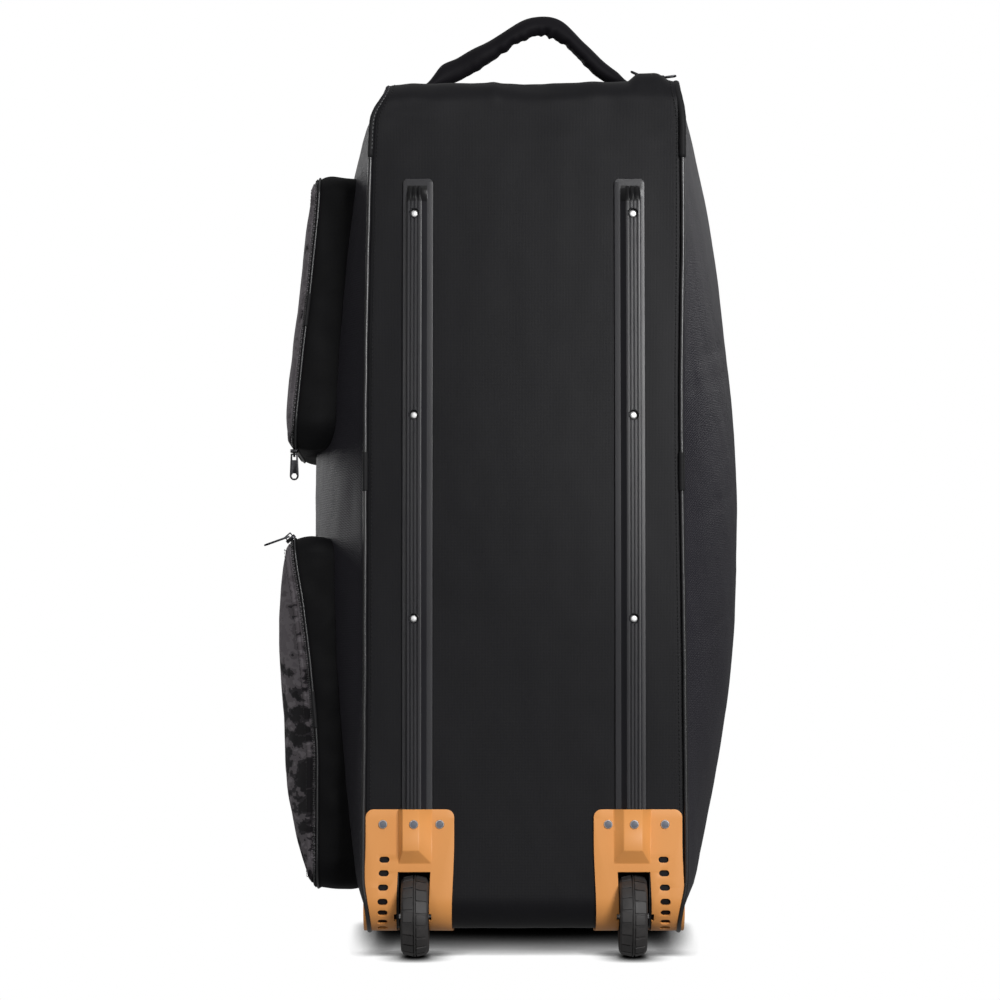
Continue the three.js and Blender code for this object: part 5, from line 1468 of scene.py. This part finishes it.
def finish_kept_nodes():
    """The part's own axles and cups stay, with their finishes."""
    for edge in SIGNS:
        for node, finish in ((f"axle_{edge}", "axle_steel"), (f"wheel_cup_{edge}", "cup_plastic")):
            data = NODES[node].data
            data.materials.clear()
            data.materials.append(FINISHES[finish])


# The studio
CAMERA_PLACE = (-0.0031, -4.192, 0.491)
CAMERA_LENS = 134.2
AIR_BASE = 0.15
AIR_ABOVE = 0.8
AIR_BELOW = 0.12
ABOVE_FROM = 0.35
GLOW_X = 0.1
GLOW_WIDE = 0.4
GLOW_Z = 0.25
GLOW_HIGH = 0.135
GLOW_STRENGTH = 0.95
SHADOW_REACH = 0.031
SHADOW_DEPTH = 3.2


def add_light(name, place, target, size, power, size_y=None, colour=(1, 1, 1)):
    lamp = bpy.data.lights.new(name, "AREA")
    lamp.shape = "RECTANGLE"
    lamp.size = size
    lamp.size_y = size_y or size
    lamp.energy = power
    lamp.color = colour
    light = bpy.data.objects.new(name, lamp)
    light.location = place
    light.rotation_euler = (Vector(target) - Vector(place)).to_track_quat("-Z", "Y").to_euler()
    bpy.context.scene.collection.objects.link(light)


def from_middle(tree, value, middle, reach):
    """The square of how far a value lies from a glow's middle, in shares of its reach."""
    share = calculate(tree, "DIVIDE", calculate(tree, "SUBTRACT", value, middle), reach)
    return calculate(tree, "POWER", share, 2.0)


def build_air():
    """Dim light all round, with a soft glow in front and a little above. The camera sees plain white."""
    world = bpy.data.worlds.new("studio_air")
    world.use_nodes = True
    tree = world.node_tree
    direction = add(tree, "ShaderNodeTexCoord").outputs["Generated"]
    parts = add(tree, "ShaderNodeSeparateXYZ", {"Vector": direction}).outputs
    across = from_middle(tree, parts["X"], GLOW_X, GLOW_WIDE)
    upwards = from_middle(tree, parts["Z"], GLOW_Z, GLOW_HIGH)
    away = calculate(tree, "ADD", across, upwards)
    glow = calculate(tree, "EXPONENT", calculate(tree, "MULTIPLY", away, -1.0))
    glow = calculate(tree, "MULTIPLY", glow, calculate(tree, "LESS_THAN", parts["Y"], 0.0))
    strength = calculate(tree, "MULTIPLY_ADD", glow, GLOW_STRENGTH, AIR_BASE)
    above = calculate(tree, "MAXIMUM", calculate(tree, "SUBTRACT", parts["Z"], ABOVE_FROM), 0.0)
    below = calculate(tree, "MAXIMUM", calculate(tree, "MULTIPLY", parts["Z"], -1.0), 0.0)
    strength = calculate(tree, "MULTIPLY_ADD", above, AIR_ABOVE, strength)
    strength = calculate(tree, "MULTIPLY_ADD", below, AIR_BELOW, strength)
    light = add(tree, "ShaderNodeBackground", {"Color": (1, 1, 1, 1), "Strength": strength})
    white = add(tree, "ShaderNodeBackground", {"Color": (1, 1, 1, 1), "Strength": 1.0})
    seen = add(tree, "ShaderNodeLightPath").outputs["Is Camera Ray"]
    shaders = {0: seen, 1: light.outputs["Background"], 2: white.outputs["Background"]}
    both = add(tree, "ShaderNodeMixShader", shaders)
    tree.links.new(both.outputs["Shader"], tree.nodes["World Output"].inputs["Surface"])
    bpy.context.scene.world = world


def build_floor():
    """A white floor, shaded only where the bag stands close over it. It throws no light back."""
    ground = bmesh.new()
    bmesh.ops.create_grid(ground, x_segments=1, y_segments=1, size=30)
    data = bpy.data.meshes.new("studio_floor")
    ground.to_mesh(data)
    ground.free()
    paint = bpy.data.materials.new("studio_floor_paint")
    paint.use_nodes = True
    tree = paint.node_tree
    tree.nodes.remove(tree.nodes["Principled BSDF"])
    open_share = add(tree, "ShaderNodeAmbientOcclusion", {"Distance": SHADOW_REACH}, samples=16).outputs["AO"]
    bright = calculate(tree, "POWER", open_share, SHADOW_DEPTH)
    bright = calculate(tree, "MINIMUM", calculate(tree, "MULTIPLY", bright, 1.06), 1.0)
    glow = add(tree, "ShaderNodeEmission", {"Color": (1, 1, 1, 1), "Strength": bright})
    tree.links.new(glow.outputs["Emission"], tree.nodes["Material Output"].inputs["Surface"])
    data.materials.append(paint)
    floor = bpy.data.objects.new("studio_floor", data)
    floor.visible_diffuse = False
    floor.visible_glossy = False
    floor.visible_shadow = False
    bpy.context.scene.collection.objects.link(floor)


def build_studio():
    scene = bpy.context.scene
    scene.view_settings.view_transform = "Standard"
    build_air()
    build_floor()
    add_light("key_light", (1.5, -2.9, 1.6), (0.1, 0, 0.55), 1.0, 84, 0.9)
    add_light("front_light", (-1.3, -3.3, 1.2), (-0.1, 0, 0.5), 0.8, 9, 1.0)
    add_light("left_light", (-1.75, 2.0, 0.9), (-0.2, 0, 0.45), 1.0, 17, 1.2)
    add_light("right_light", (1.8, 1.9, 1.5), (0.1, 0, 0.7), 0.8, 11, 1.0)
    lens = bpy.data.cameras.new("photo_camera")
    lens.lens = CAMERA_LENS
    lens.sensor_width = 36
    lens.clip_end = 60
    camera = bpy.data.objects.new("photo_camera", lens)
    camera.location = CAMERA_PLACE
    camera.rotation_euler = (QUARTER, 0, 0)
    scene.collection.objects.link(camera)
    scene.camera = camera


build_studio()
build_body()
build_sides()
build_piping()
build_rails()
build_plates()
build_wheels()
build_handle()
for pocket_name, pocket_facts in POCKETS.items():
    build_pocket(pocket_name, pocket_facts)
build_zips()
finish_kept_nodes()
